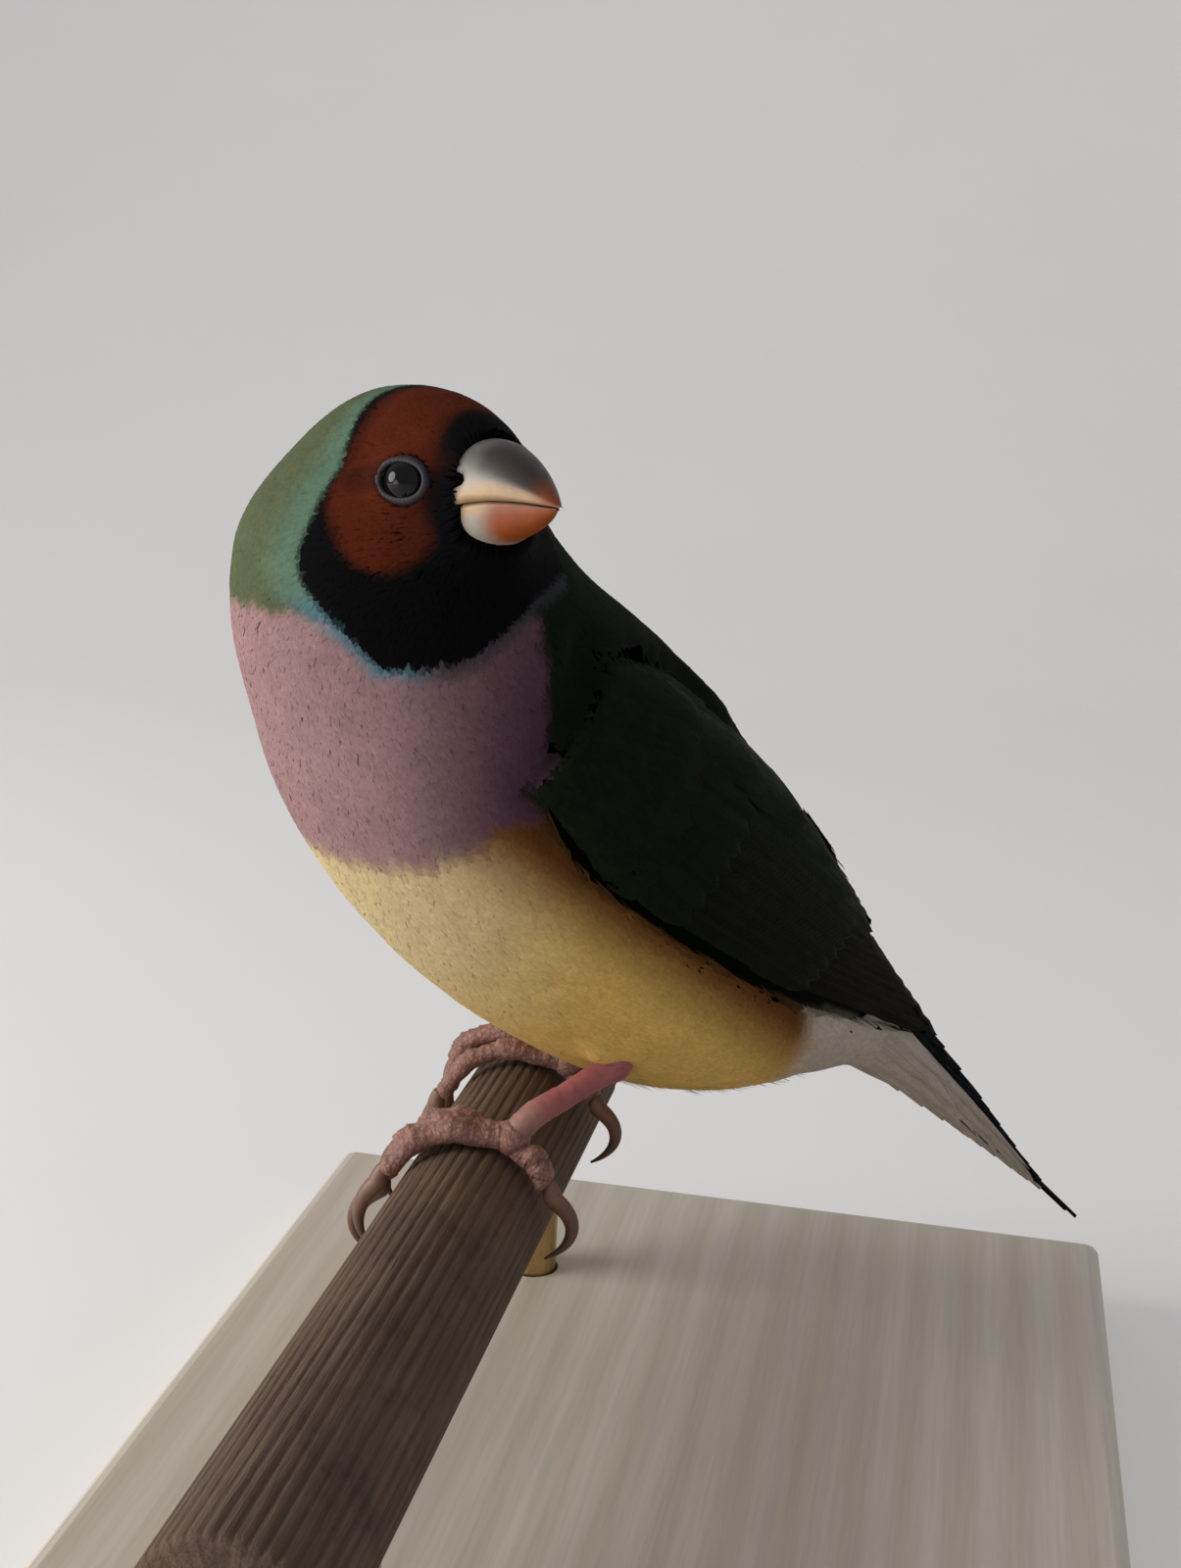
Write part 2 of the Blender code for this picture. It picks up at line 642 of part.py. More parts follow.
def wing_vanes():
    """Every feather of the folded wing: (name, root, tip, width, depths, point), in mm of the wing's own plane."""
    vanes = []
    for k in range(PRIMARIES):
        t = k / (PRIMARIES - 1)
        tip = (60.6 - 18.1 * t ** 0.9, 0.4 + 3.4 * t ** 0.8)
        root = (20.0, -4.6 + 5.6 * t)
        vanes.append(("primary", root, tip, 5.4, (1.25 - 0.2 * t, 0.95 - 0.45 * t), 0.45))
    for k in range(SECONDARIES):
        t = k / (SECONDARIES - 1)
        vanes.append(("secondary", (11.0, -4.4 + 8.0 * t), (36.0 + 3.5 * t, -3.4 + 7.4 * t), 5.0,
                      (1.05, 0.45 - 0.1 * t), 0.0))
    for k in range(TERTIALS):
        vanes.append(("tertial", (13.0, 5.6 + 1.9 * k), (43.0 - 5.0 * k, 5.0 + 2.1 * k), 6.4,
                      (0.95, 0.3 - 0.1 * k), 0.1))
    for k in range(GREATER_COVERTS):
        t = k / (GREATER_COVERTS - 1)
        vanes.append(("greater", (3.0 + 2.0 * t, -3.4 + 11.5 * t), (18.5 + 3.0 * t, -4.8 + 14.6 * t), 4.2,
                      (0.9, 0.22), 0.0))
    for k in range(MEDIAN_COVERTS):
        t = k / (MEDIAN_COVERTS - 1)
        vanes.append(("median", (-0.6 + 1.5 * t, -2.0 + 10.4 * t), (9.8 + 2.4 * t, -3.6 + 13.6 * t), 4.2,
                      (0.75, 0.12), 0.0))
    return vanes


def wing_place(side):
    def place(along, across, depth):
        return BODY @ wing_point(side, along * MM, across * MM, depth * MM)
    return place


def make_wing_core(name, place, columns, rows, collection):
    """A curved slab inside the wing's outline, which all its feathers are rooted in."""
    points = []
    for layer in (0, 1):
        for i in range(columns):
            x = CORE_REACH[0] + (CORE_REACH[1] - CORE_REACH[0]) * i / (columns - 1)
            low = through(x, WING_STATIONS, WING_LOWER_EDGE) + 0.6
            high = through(x, WING_STATIONS, WING_UPPER_EDGE) - 0.6
            for j in range(rows):
                t = j / (rows - 1)
                bulge = math.sin(math.pi * t) ** 0.5
                top = 0.85 + 0.25 * (1 - bulge) - 0.55 * max(0.0, 1 - max(x, 0.0) / 10) * bulge
                low_side = 1.45 + 0.35 * bulge
                points.append(place(x, low + (high - low) * t, low_side if layer else top))
    size = columns * rows
    faces = []
    for i in range(columns - 1):
        for j in range(rows - 1):
            a, b = i * rows + j, (i + 1) * rows + j
            faces.append((a, a + 1, b + 1, b))
            faces.append((a + size, b + size, b + 1 + size, a + 1 + size))
    rim = [i * rows for i in range(columns)] + [(columns - 1) * rows + j for j in range(1, rows)]
    rim += [i * rows + rows - 1 for i in range(columns - 2, -1, -1)] + [j for j in range(rows - 2, 0, -1)]
    for k, a in enumerate(rim):
        b = rim[(k + 1) % len(rim)]
        faces.append((a, b, b + size, a + size))
    return add_mesh(name, points, faces, collection)


def make_wing(side_name, side, collection):
    """The folded wing: overlapping feathers in tiers, fused to a thin core."""
    place = wing_place(side)
    core = make_wing_core("wing_" + side_name, place, 15, 8, collection)
    vanes = [make_vane(name, place, root, tip, width, depths, collection, point)
             for name, root, tip, width, depths, point in wing_vanes()]
    return boolean(core, "UNION", vanes)


def tail_frame():
    """x runs back along the tail, y to the bird's left, z out of its upper side."""
    back = Vector((-math.cos(TAIL_SLOPE), 0, -math.sin(TAIL_SLOPE)))
    left = Vector((0, 1, 0))
    top = Vector((-math.sin(TAIL_SLOPE), 0, math.cos(TAIL_SLOPE)))
    turn = Matrix((back, left, top)).transposed().to_4x4()
    return BODY @ Matrix.Translation((TAIL_ROOT[0], 0, TAIL_ROOT[1])) @ turn


TAIL = tail_frame()


def make_tail_slab(collection, swell=0.0):
    rows = []
    for t in np.linspace(0, 1, 15):
        wide = through(t, TAIL_STATIONS, TAIL_HALF_WIDTH) * MM + swell
        thick = through(t, TAIL_STATIONS, TAIL_HALF_THICKNESS) * MM + swell
        x = TAIL_LENGTH * t + swell * (2 * t - 1)
        rows.append([(x, wide * math.copysign(abs(math.cos(a)) ** 0.7, math.cos(a)),
                      thick * math.copysign(abs(math.sin(a)) ** 0.7, math.sin(a)) + roof(wide * math.cos(a)))
                     for a in np.arange(12) * math.pi / 6 + math.pi / 12])
    return loft("tail", rows, TAIL, collection)


def roof(across):
    """How far the folded tail drops to its sides."""
    return -abs(across) * 0.18


def tail_vanes():
    """The tail's feathers in pairs: the long pointed middle pair on top, shorter ones fanned under it."""
    vanes = []
    for pair, length in enumerate(TAIL_PAIRS):
        for side in (1, -1):
            spread = math.radians(0.7 + 1.15 * pair) * side
            root = (1.0, side * (0.55 + 0.18 * pair))
            tip = (length * math.cos(spread), root[1] + length * math.sin(spread))
            width = 3.4 if pair == 0 else 3.9
            depths = (-0.55 + 0.16 * pair + 0.05 * side, -0.45 + 0.18 * pair + 0.05 * side)
            vanes.append((root, tip, width, depths, 1.0 if pair == 0 else 0.35))
    return vanes


def make_tail(collection):
    def place(along, across, depth):
        return TAIL @ Vector((along * MM, across * MM, roof(across * MM) - depth * MM))
    root = block("tail", TAIL, (0.6 * MM, -2.2 * MM, -0.9 * MM), (9.0 * MM, 2.2 * MM, 0.45 * MM), collection)
    vanes = [make_vane("rectrix", place, *values[:4], collection, values[4]) for values in tail_vanes()]
    return boolean(root, "UNION", vanes)


# Legs and feet

def perch_wrap(y, angle, lift):
    """A point over the perch's surface; angle turns from its top towards the side the bird faces."""
    reach = PERCH_RADIUS + lift
    return perch_point(y) + Vector((-math.sin(angle) * reach, 0, math.cos(angle) * reach))


def toe_path(start, end, thick, arch, count=8):
    """Points of a toe that wraps the perch from one (y, degrees) to another, and their radii."""
    points, radii = [], []
    for k in range(count):
        t = k / (count - 1)
        y = start[0] + (end[0] - start[0]) * t
        angle = math.radians(start[1] + (end[1] - start[1]) * t)
        radius = thick * (1 - 0.24 * t) * (1 + 0.10 * math.cos(6 * math.pi * t))
        lift = arch * math.sin(math.pi * t) ** 2 + 0.5 * MM * t
        points.append(perch_wrap(y, angle, radius + GAP + lift))
        radii.append(radius)
    return points, radii


def claw_path(end, plan):
    """A claw from the toe's end, arching off the perch and curving on round it."""
    along, swing, closing, arch = plan
    points, radii = [], []
    for k in range(7):
        t = k / 6
        angle = math.radians(end[1] + math.copysign(CLAW_SKIP, swing) + swing * t)
        lift = 1.8 * MM + arch * MM * math.sin(math.pi * t * closing) - 0.7 * MM * t
        points.append(perch_wrap(end[0] + along * MM * t, angle, lift))
        radii.append(CLAW_RADIUS * (1 - 0.86 * t ** 1.3))
    return points, radii


def make_foot(side_name, collection, claws):
    """Three toes forward and one back, fused at the ball of the foot, with a claw to each."""
    base_y = FOOT_Y[side_name]
    pieces = []
    for toe, (start, end, thick, arch) in TOE_PLANS[side_name].items():
        start = (base_y + start[0] * MM, start[1])
        end = (base_y + end[0] * MM, end[1])
        pieces.append(tapered_tube(toe, *toe_path(start, end, thick * MM, arch * MM), collection, 1))
        path, thin = claw_path(end, CLAW_PLANS[side_name][toe])
        claw = tapered_tube("claw_" + side_name + "_" + toe, path, thin, collection, 1)
        claws.append(finish(claw, "claw_horn"))
    hub_y, hub_angle = FOOT_HUBS[side_name]
    hub_centre = perch_wrap(base_y + hub_y * MM, math.radians(hub_angle), HUB_RADIUS + GAP)
    hub = ball("foot_" + side_name, Matrix.Translation(hub_centre), HUB_RADIUS, collection, 14, 9)
    boolean(hub, "UNION", pieces)
    return boolean(hub, "DIFFERENCE", [make_tarsus(side_name, collection, GAP)])


def tarsus_points(side_name):
    base_y = FOOT_Y[side_name]
    hub_y, hub_angle = FOOT_HUBS[side_name]
    foot = perch_wrap(base_y + hub_y * MM, math.radians(hub_angle), HUB_RADIUS * 1.9 + GAP)
    heel = BODY @ Vector(HEELS[side_name])
    knee = BODY @ Vector(KNEES[side_name])
    return foot, heel, knee


def make_tarsus(side_name, collection, swell=0.0):
    foot, heel, knee = tarsus_points(side_name)
    down = (foot - heel).normalized()
    low = foot + down * (0.9 * MM + swell)
    points = [low, foot.lerp(heel, 0.12), foot.lerp(heel, 0.5), foot.lerp(heel, 0.86), heel,
              heel.lerp(knee, 0.35), heel.lerp(knee, 1.0)]
    radii = [1.25, 1.0, 0.9, 1.05, 1.25, 1.15, 1.3]
    return tapered_tube("tarsus_" + side_name, points, [r * MM + swell for r in radii], collection, 2)


# Perch and stand

def make_perch(collection):
    count = PERCH_FLUTES * 2
    ring = []
    for k in range(count):
        a = 2 * math.pi * k / count
        r = PERCH_RADIUS - FLUTE_DEPTH * (0.5 - 0.5 * math.cos(PERCH_FLUTES * a))
        ring.append((r * math.sin(a), r * math.cos(a)))
    rows = []
    ends = ((PERCH_FRONT_Y, 0.95), (PERCH_FRONT_Y + 0.5 * MM, 1.0), (PERCH_BACK_Y - 0.5 * MM, 1.0),
            (PERCH_BACK_Y, 0.95))
    for y, scale in ends:
        rows.append([(x * scale, y, z * scale) for x, z in ring])
    frame = Matrix.Translation((PERCH_CENTRE_X, 0, PERCH_CENTRE_Z))
    perch = loft("perch", rows, frame, collection)
    return boolean(perch, "DIFFERENCE", [rod_cylinder("socket", y, SOCKET_TOP, -0.02, 0.3 * MM, collection)
                                         for y in ROD_PLACES_Y])


def rod_cylinder(name, y, top, bottom, swell, collection):
    mesh = bpy.data.meshes.new(name)
    work = bmesh.new()
    place = Matrix.Translation((PERCH_CENTRE_X, y, (top + bottom) / 2))
    bmesh.ops.create_cone(work, cap_ends=True, segments=24, radius1=ROD_RADIUS + swell, radius2=ROD_RADIUS + swell,
                          depth=top - bottom, matrix=place)
    work.to_mesh(mesh)
    work.free()
    obj = bpy.data.objects.new(name, mesh)
    collection.objects.link(obj)
    return obj


def make_base(collection):
    half_x, half_y, height = BASE_SIZE[0] / 2, BASE_SIZE[1] / 2, BASE_SIZE[2]
    base = block("stand_base", Matrix(), (-half_x, -half_y, 0), (half_x, half_y, height), collection)
    bevel = base.modifiers.new("round", "BEVEL")
    bevel.width = BASE_ROUNDING
    bevel.segments = 3
    bpy.context.view_layer.update()
    base = evaluated_copy(base, "stand_base", collection)
    return boolean(base, "DIFFERENCE", [rod_cylinder("hole", y, 0.02, ROD_BOTTOM - 0.3 * MM, 0.3 * MM, collection)
                                        for y in ROD_PLACES_Y])


# Dividing the flesh

def copy_of(obj, name, collection):
    made = bpy.data.objects.new(name, obj.data.copy())
    collection.objects.link(made)
    return made


def piece_between(flesh, name, planes, collection):
    """The part of the flesh on the inner side of every (point, normal) plane, each set back by half a gap."""
    part = copy_of(flesh, name, collection)
    for point, normal in planes:
        turn = normal.to_track_quat("Z", "Y").to_matrix().to_4x4()
        frame = Matrix.Translation(point - normal * GAP / 2) @ turn
        beyond = block("beyond", frame, (-0.2, -0.2, 0.0), (0.2, 0.2, 0.4), collection)
        boolean(part, "DIFFERENCE", [beyond])
    return part


def in_body(point):
    return BODY @ (Vector(point) * MM)


def body_direction(vector):
    return (BODY.to_3x3() @ Vector(vector)).normalized()


# The model

def main():
    clear_scene()
    parts = new_collection("Gouldian finch")
    cutters = new_collection("cutters")

    flesh = flesh_mesh(cutters)
    rings = [lid_ring(side, cutters) for side in (1, -1)]
    boolean(flesh, "UNION", rings)
    claws = []
    holes = [make_bill("upper", cutters, GAP), make_bill("lower", cutters, GAP), make_tail_slab(cutters, GAP)]
    for side in (1, -1):
        holes.append(ball("socket", eye_frame(side), EYE_RADIUS + GAP, cutters, 16, 10))
    for name in ("left", "right"):
        holes.append(make_tarsus(name, cutters, GAP))
    for hole in holes:
        boolean(flesh, "DIFFERENCE", [hole])

    neck_place = in_body((9.0, -2.0, 56.0))
    neck_up = (HEAD.translation - neck_place).normalized()
    head_plane = (HEAD.translation - neck_up * 5.5 * MM, neck_up)
    neck_plane = (in_body((10.0, 0.0, 50.0)), body_direction((0.45, 0.0, 0.89)))
    breast_plane = (in_body((2.0, 0.0, 30.0)), body_direction((0.95, 0.0, 0.30)))
    rump_plane = (in_body((-27.0, 0.0, 20.0)), body_direction((0.80, 0.0, 0.60)))
    divisions = {
        "head": ("mask_red", [(head_plane[0], -head_plane[1])]),
        "neck": ("wing_green", [head_plane, (neck_plane[0], -neck_plane[1])]),
        "breast": ("breast_mauve", [head_plane, neck_plane, (breast_plane[0], -breast_plane[1])]),
        "belly": ("belly_yellow", [head_plane, neck_plane, breast_plane, (rump_plane[0], -rump_plane[1])]),
        "rump": ("covert_white", [rump_plane]),
    }
    for name, (look, planes) in divisions.items():
        piece = piece_between(flesh, name, planes, parts)
        keep_largest(piece.data)
        face_outwards(piece.data)
        smooth_shading(finish(piece, look))

    for part in ("upper", "lower"):
        bill = make_bill(part, parts)
        if part == "upper":
            boolean(bill, "DIFFERENCE", [nostril(side, cutters) for side in (1, -1)])
        smooth_shading(finish(bill, "bill_ivory"))
    for name, side in (("left", 1), ("right", -1)):
        smooth_shading(finish(make_eye(name, side, parts), "eye_dark"), 80)
        smooth_shading(finish(make_wing(name, side, parts), "wing_green"))
        smooth_shading(finish(make_tarsus(name, parts), "leg_pink"))
        smooth_shading(finish(make_foot(name, parts, claws), "leg_pink"))
    smooth_shading(finish(make_tail(parts), "tail_dark"))
    smooth_shading(finish(make_perch(parts), "perch_wood"), 60)
    smooth_shading(finish(make_base(parts), "stand_wood"), 25)
    for name, y in zip(("front", "back"), ROD_PLACES_Y):
        rod = rod_cylinder("stand_rod_" + name, y, ROD_TOP, ROD_BOTTOM, 0.0, parts)
        smooth_shading(finish(rod, "stand_metal"))
    for left_over in list(cutters.objects):
        bpy.data.objects.remove(left_over)
    bpy.data.collections.remove(cutters)
    total = 0
    for obj in parts.objects:
        count = sum(len(p.vertices) - 2 for p in obj.data.polygons)
        total += count
        print(obj.name, count)
    print("triangles", total)


main()
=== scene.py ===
"""Looks for a life-size male gouldian finch on a reeded dowel and a plain display stand.

Metres. Body points are (forward, left, up) from the perch's axis midway between the feet, head
points the same from the middle of the head, and wing points lie in the folded wing's own plane.
"""

import math
from functools import cache

import bmesh
import bpy
import numpy as np
from bpy.props import FloatProperty, FloatVectorProperty, IntProperty, PointerProperty
from mathutils import Matrix, Vector
from mathutils.bvhtree import BVHTree


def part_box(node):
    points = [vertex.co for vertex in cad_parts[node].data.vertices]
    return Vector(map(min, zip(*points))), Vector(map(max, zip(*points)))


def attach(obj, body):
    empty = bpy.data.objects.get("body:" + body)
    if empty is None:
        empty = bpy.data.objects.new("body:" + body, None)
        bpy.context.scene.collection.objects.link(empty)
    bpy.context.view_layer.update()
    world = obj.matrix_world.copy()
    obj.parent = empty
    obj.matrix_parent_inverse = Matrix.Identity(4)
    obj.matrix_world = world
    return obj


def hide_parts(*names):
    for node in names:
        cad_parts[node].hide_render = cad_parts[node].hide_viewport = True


bl_info = {
    "name": "Gouldian finch",
    "version": (1, 0, 0),
    "blender": (4, 5, 0),
    "location": "3D View > Sidebar > Finch",
    "description": "Skin, feathers, bill, eyes, legs, perch and stage of a life-size perching finch",
    "category": "Object",
}

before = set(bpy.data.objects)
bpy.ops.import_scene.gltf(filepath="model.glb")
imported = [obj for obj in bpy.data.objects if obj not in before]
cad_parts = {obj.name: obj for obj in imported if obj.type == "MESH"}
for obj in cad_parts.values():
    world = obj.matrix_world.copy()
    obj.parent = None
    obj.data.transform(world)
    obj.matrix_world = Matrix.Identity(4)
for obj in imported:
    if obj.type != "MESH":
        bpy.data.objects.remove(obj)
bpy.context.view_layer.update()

MM = 0.001
FLESH = ("head", "neck", "breast", "belly", "rump")
FACE = ("bill_upper", "bill_lower", "eye_left", "eye_right")
WINGS = ("wing_left", "wing_right")
SIDES = (("left", 1), ("right", -1))

# Places shared with the solids
PERCH_RADIUS = 6.8 * MM
PERCH_FLUTES = 40
FLUTE_DEPTH = 0.12 * MM
PERCH_CENTRE = (-16.0 * MM, 27.5 * MM)
PERCH_ENDS = (-57.0 * MM, 45.0 * MM)
FOOT_Y = {"left": 2.5 * MM, "right": 24.5 * MM}
BODY_YAW = math.radians(38.0)
HEAD_TURN = math.radians(101.0)
HEAD_PITCH = math.radians(11.0)
HEAD_MIDDLE = (10.6 * MM, 1.5 * MM, 62.7 * MM)
TORSO_START = (-34.0 * MM, 7.0 * MM)
TORSO_SLOPE = math.radians(44.4)
EYE_OUT = (0.52, 0.84, 0.10)
EYE_RADIUS = 1.95 * MM
EYE_CLEARING = 2.45 * MM
LID_CLEARING = 2.34
BILL_ROOT = 11.4 * MM
BILL_LENGTH = 9.2 * MM
BILL_HALF_WIDTH = 3.8 * MM
BILL_TOP = 4.7 * MM
BILL_MOUTH = -0.5 * MM
BILL_BOTTOM = -4.2 * MM
BILL_TIP_UP = -1.5 * MM
BILL_PLUG = 1.5 * MM
BILL_FRONT = (15.5 * MM, 0.0, -0.5 * MM)
MOUTH_RISE = 0.25 * MM
WING_BALLS = (
    (14.0, 53.0, 13.6), (10.0, 48.4, 16.0), (4.0, 41.5, 18.0), (-4.0, 34.8, 18.6), (-12.0, 28.8, 17.6),
    (-20.0, 23.6, 15.6), (-28.0, 18.6, 12.6), (-36.0, 14.2, 9.4), (-44.0, 9.8, 6.4), (-52.0, 5.4, 4.4),
)
WRIST = (3.0 * MM, 44.0 * MM)
WING_SLOPE = math.radians(34.5)
WING_STATIONS = (0.0, 8.0, 22.0, 37.0, 48.7, 62.0)
WING_LOWER_EDGE = (-4.0, -6.9, -7.0, -5.4, -3.2, -0.5)
WING_UPPER_EDGE = (9.0, 12.6, 12.0, 8.4, 5.6, 1.6)
TAIL_ROOT = (-38.0 * MM, 14.0 * MM)
TAIL_SLOPE = math.radians(41.5)
TAIL_PAIRS = (44.6, 34.0, 31.0, 28.5, 26.0, 23.5)
FOOT_HUBS = {"left": (3.0, -25.0), "right": (2.4, -32.0)}
HUB_RADIUS = 1.55 * MM
# Each toe: its start and its end as (mm along the perch, degrees round it), thickness and arch in mm
TOE_PLANS = {
    "left": {
        "outer": ((2.4, -16.0), (0.2, 60.0), 1.20, 0.4),
        "middle": ((2.8, -14.0), (3.6, 74.0), 1.25, 0.4),
        "inner": ((3.4, -14.0), (7.4, 54.0), 1.10, 0.4),
        "hind": ((2.8, -33.0), (1.4, -60.0), 1.25, 0.3),
    },
    "right": {
        "inner": ((1.8, -24.0), (0.2, 70.0), 1.10, 0.4),
        "middle": ((2.6, -24.0), (4.8, 78.0), 1.20, 1.6),
        "outer": ((3.0, -24.0), (8.4, 46.0), 1.15, 0.4),
        "hind": ((2.2, -40.0), (1.2, -60.0), 1.25, 0.3),
    },
}
# Each claw: mm along the perch, degrees round it, how far its arc closes, and how high it arches
CLAW_PLANS = {
    "left": {
        "outer": (-0.6, 42.0, 0.85, 1.1),
        "middle": (-0.2, 40.0, 0.80, 2.8),
        "inner": (0.4, 42.0, 0.90, 1.0),
        "hind": (-1.3, -36.0, 1.0, 1.5),
    },
    "right": {
        "outer": (-0.6, 42.0, 0.90, 1.0),
        "middle": (-0.2, 42.0, 0.90, 1.2),
        "inner": (0.4, 42.0, 0.90, 1.0),
        "hind": (-1.3, -36.0, 1.0, 1.5),
    },
}
CLAW_SKIP = 8.0
CLAW_RADIUS = 0.75 * MM
GAP = 0.32 * MM
HEELS = {"left": (-8.2 * MM, 8.5 * MM, 13.5 * MM), "right": (-21.0 * MM, -8.8 * MM, 14.0 * MM)}
KNEES = {"left": (-3.5 * MM, 9.0 * MM, 20.0 * MM), "right": (-15.0 * MM, -9.0 * MM, 20.0 * MM)}
THIGH_RADIUS = 1.7 * MM
THIGH_SHARES = (0.30, 0.55, 0.8, 1.05)

# Borders of the head's markings, as pairs in mm: the backs and the front run from low to high, the floor across
MASK_BACK = (
    (-14.0, 7.0), (-12.1, 6.2), (-10.2, 5.2), (-8.0, 3.8), (-5.6, 2.3), (-3.7, 1.9), (0.3, 2.8), (1.6, 3.1),
    (3.4, 3.7), (5.5, 3.4), (7.4, 2.9), (9.5, 2.3), (12.0, 2.2),
)
MASK_FLOOR = (
    (-12.0, -12.3), (-8.0, -13.1), (-5.8, -13.5), (-2.7, -12.9), (0.3, -11.0), (4.1, -8.2), (8.0, -6.6),
    (9.3, -6.0), (9.8, 0.0), (10.5, 12.0),
)
RED_BACK = (
    (-5.6, 7.5), (-4.8, 6.1), (-3.5, 5.0), (-2.0, 4.3), (0.2, 3.5), (1.9, 3.4), (3.7, 4.1), (7.3, 3.8),
    (9.5, 3.3), (12.0, 3.2),
)
RED_FRONT = (
    (-5.6, 8.6), (-4.7, 9.6), (-3.0, 10.6), (-1.2, 10.4), (0.6, 10.7), (2.9, 11.1), (4.7, 10.6), (6.6, 10.2),
    (8.0, 10.2), (12.0, 9.0),
)
BAND_WIDTH = ((-11.5, 1.4), (-9.0, 2.2), (-5.8, 5.0), (0.3, 4.6), (3.3, 4.0), (6.4, 2.4))
FRINGE_GREY = (0.034, 0.035, 0.042)

# Reaches of the maps that unwrap the coat and the skin, along the head's and the torso's axes
HEAD_REACH = (-18 * MM, 16 * MM)
TORSO_REACH = (-6 * MM, 76 * MM)
SKIN_HEAD = 14 * MM

# Sizes change from the head's feathers to the body's past this distance from the head's middle
HEAD_COAT = 10.0 * MM
NECK_FADE = 9.0 * MM


def srgb(*parts):
    """Red, green and blue written 0 to 255, as Blender's linear numbers."""
    return tuple((c / 255 / 12.92) if c <= 10 else ((c / 255 + 0.055) / 1.055) ** 2.4 for c in parts)


# What a user would change

def colour(name, description, value):
    """A colour that a user may change."""
    return FloatVectorProperty(name=name, description=description, default=value, subtype="COLOR", min=0.0,
                               max=1.0)


def length(name, description, value):
    """A length that a user may change."""
    return FloatProperty(name=name, description=description, default=value, min=0.0, unit="LENGTH", precision=5)


def power(name, description, value):
    """The power of a light, which a user may change."""
    return FloatProperty(name=name, description=description, default=value, min=0.0, unit="POWER")


class FinchPlumageColours(bpy.types.PropertyGroup):
    """Colours of the feathers."""
    mask_red: colour("Mask red", "Crown and cheek", srgb(83, 32, 12))
    mask_black: colour("Mask black", "Throat, lores and the mask's border", srgb(5, 5, 7))
    collar_teal: colour("Collar teal", "Soft band behind the mask", srgb(92, 120, 100))
    collar_blue: colour("Collar blue", "Thin line under the black bib", srgb(80, 120, 132))
    nape_green: colour("Nape green", "Nape and sides of the neck", srgb(84, 90, 64))
    # Mantle green is near black: the back's own dark green, deepened with painted shade that stands for the shade
    # over the back and wings.
    mantle_green: colour("Mantle green", "Back, scapulars and wing coverts", srgb(17, 25, 14))
    breast_mauve: colour("Breast mauve", "Front of the breast", srgb(151, 119, 119))
    # Breast purple is partly the breast's own purple and partly painted shade: the sides of the breast by the
    # wings are drawn darker.
    breast_purple: colour("Breast purple", "Sides of the breast next to the wings", srgb(74, 48, 62))
    belly_yellow: colour("Belly yellow", "Belly", srgb(214, 176, 98))
    belly_cream: colour("Belly cream", "Front of the belly", srgb(204, 182, 138))
    # Flank orange is partly the flank's own orange and partly painted shade from the folded wing above it.
    flank_orange: colour("Flank orange", "Flank next to the folded wing", srgb(112, 68, 30))
    vent_white: colour("Vent white", "Vent and undertail coverts", srgb(176, 164, 152))
    rump_blue: colour("Rump blue", "Rump and uppertail coverts", srgb(12, 18, 22))
    flight_brown: colour("Flight brown", "Primaries and secondaries", srgb(15, 13, 10))
    tail_black: colour("Tail black", "Tail feathers", srgb(11, 12, 15))


class FinchBareColours(bpy.types.PropertyGroup):
    """Colours of bill, eyes and legs."""
    bill_ivory: colour("Bill ivory", "Sides of the bill at its root", srgb(162, 154, 142))
    bill_orange: colour("Bill orange", "Bill towards its tip", srgb(150, 72, 23))
    bill_cream: colour("Bill cream", "Both sides of the mouth line", srgb(190, 156, 118))
    # Bill top shade and bill ridge shade are painted shade: the top of the upper bill is drawn grey and its ridge
    # dark brown, where they lay away from the light.
    bill_grey: colour("Bill grey", "Top of the upper bill", srgb(94, 91, 86))
    bill_brown: colour("Bill brown", "Dusky patch on the outer ridge", srgb(46, 34, 30))
    lid_grey: colour("Lid grey", "Bare ring round the eye", srgb(56, 52, 56))
    iris_brown: colour("Iris brown", "Iris round the pupil", srgb(6, 6, 7))
    leg_pink: colour("Leg pink", "Smooth scales of the legs", srgb(158, 88, 88))
    toe_pink: colour("Toe pink", "Rough scales of the toes", srgb(146, 104, 92))
    claw_horn: colour("Claw horn", "Claws", srgb(122, 88, 70))


class FinchCoatSizes(bpy.types.PropertyGroup):
    """Sizes of the small feathers of head and body."""
    body_depth: length("Body coat depth", "From the skin to the tips of the body feathers", 0.9 * MM)
    head_depth: length("Head coat depth", "From the skin to the tips of the head feathers", 0.55 * MM)
    body_length: length("Body feather length", "Shown length of a body feather", 3.8 * MM)
    body_width: length("Body feather width", "Width of a body feather", 0.74 * MM)
    head_length: length("Head feather length", "Shown length of a head feather", 1.3 * MM)
    head_width: length("Head feather width", "Width of a head feather", 0.42 * MM)
    body_spacing: length("Body feather spacing", "Distance between roots on the body", 0.30 * MM)
    head_spacing: length("Head feather spacing", "Distance between roots on the head", 0.23 * MM)
    seed: IntProperty(name="Seed", description="Changes how the feathers are scattered", default=7, min=0)


class FinchPerchFinish(bpy.types.PropertyGroup):
    """Colours of the perch and its stand."""
    # The perch is drawn lighter on its ridges and darker in its grooves.
    wood_light: colour("Perch light", "Worn ridges of the perch", srgb(108, 87, 71))
    wood_dark: colour("Perch dark", "Grooves and stains of the perch", srgb(78, 59, 48))
    base_light: colour("Base light", "Pale grain of the base", srgb(206, 196, 182))
    base_dark: colour("Base dark", "Dark grain of the base", srgb(190, 177, 160))
    brass: colour("Brass", "Rods of the stand", srgb(186, 160, 108))


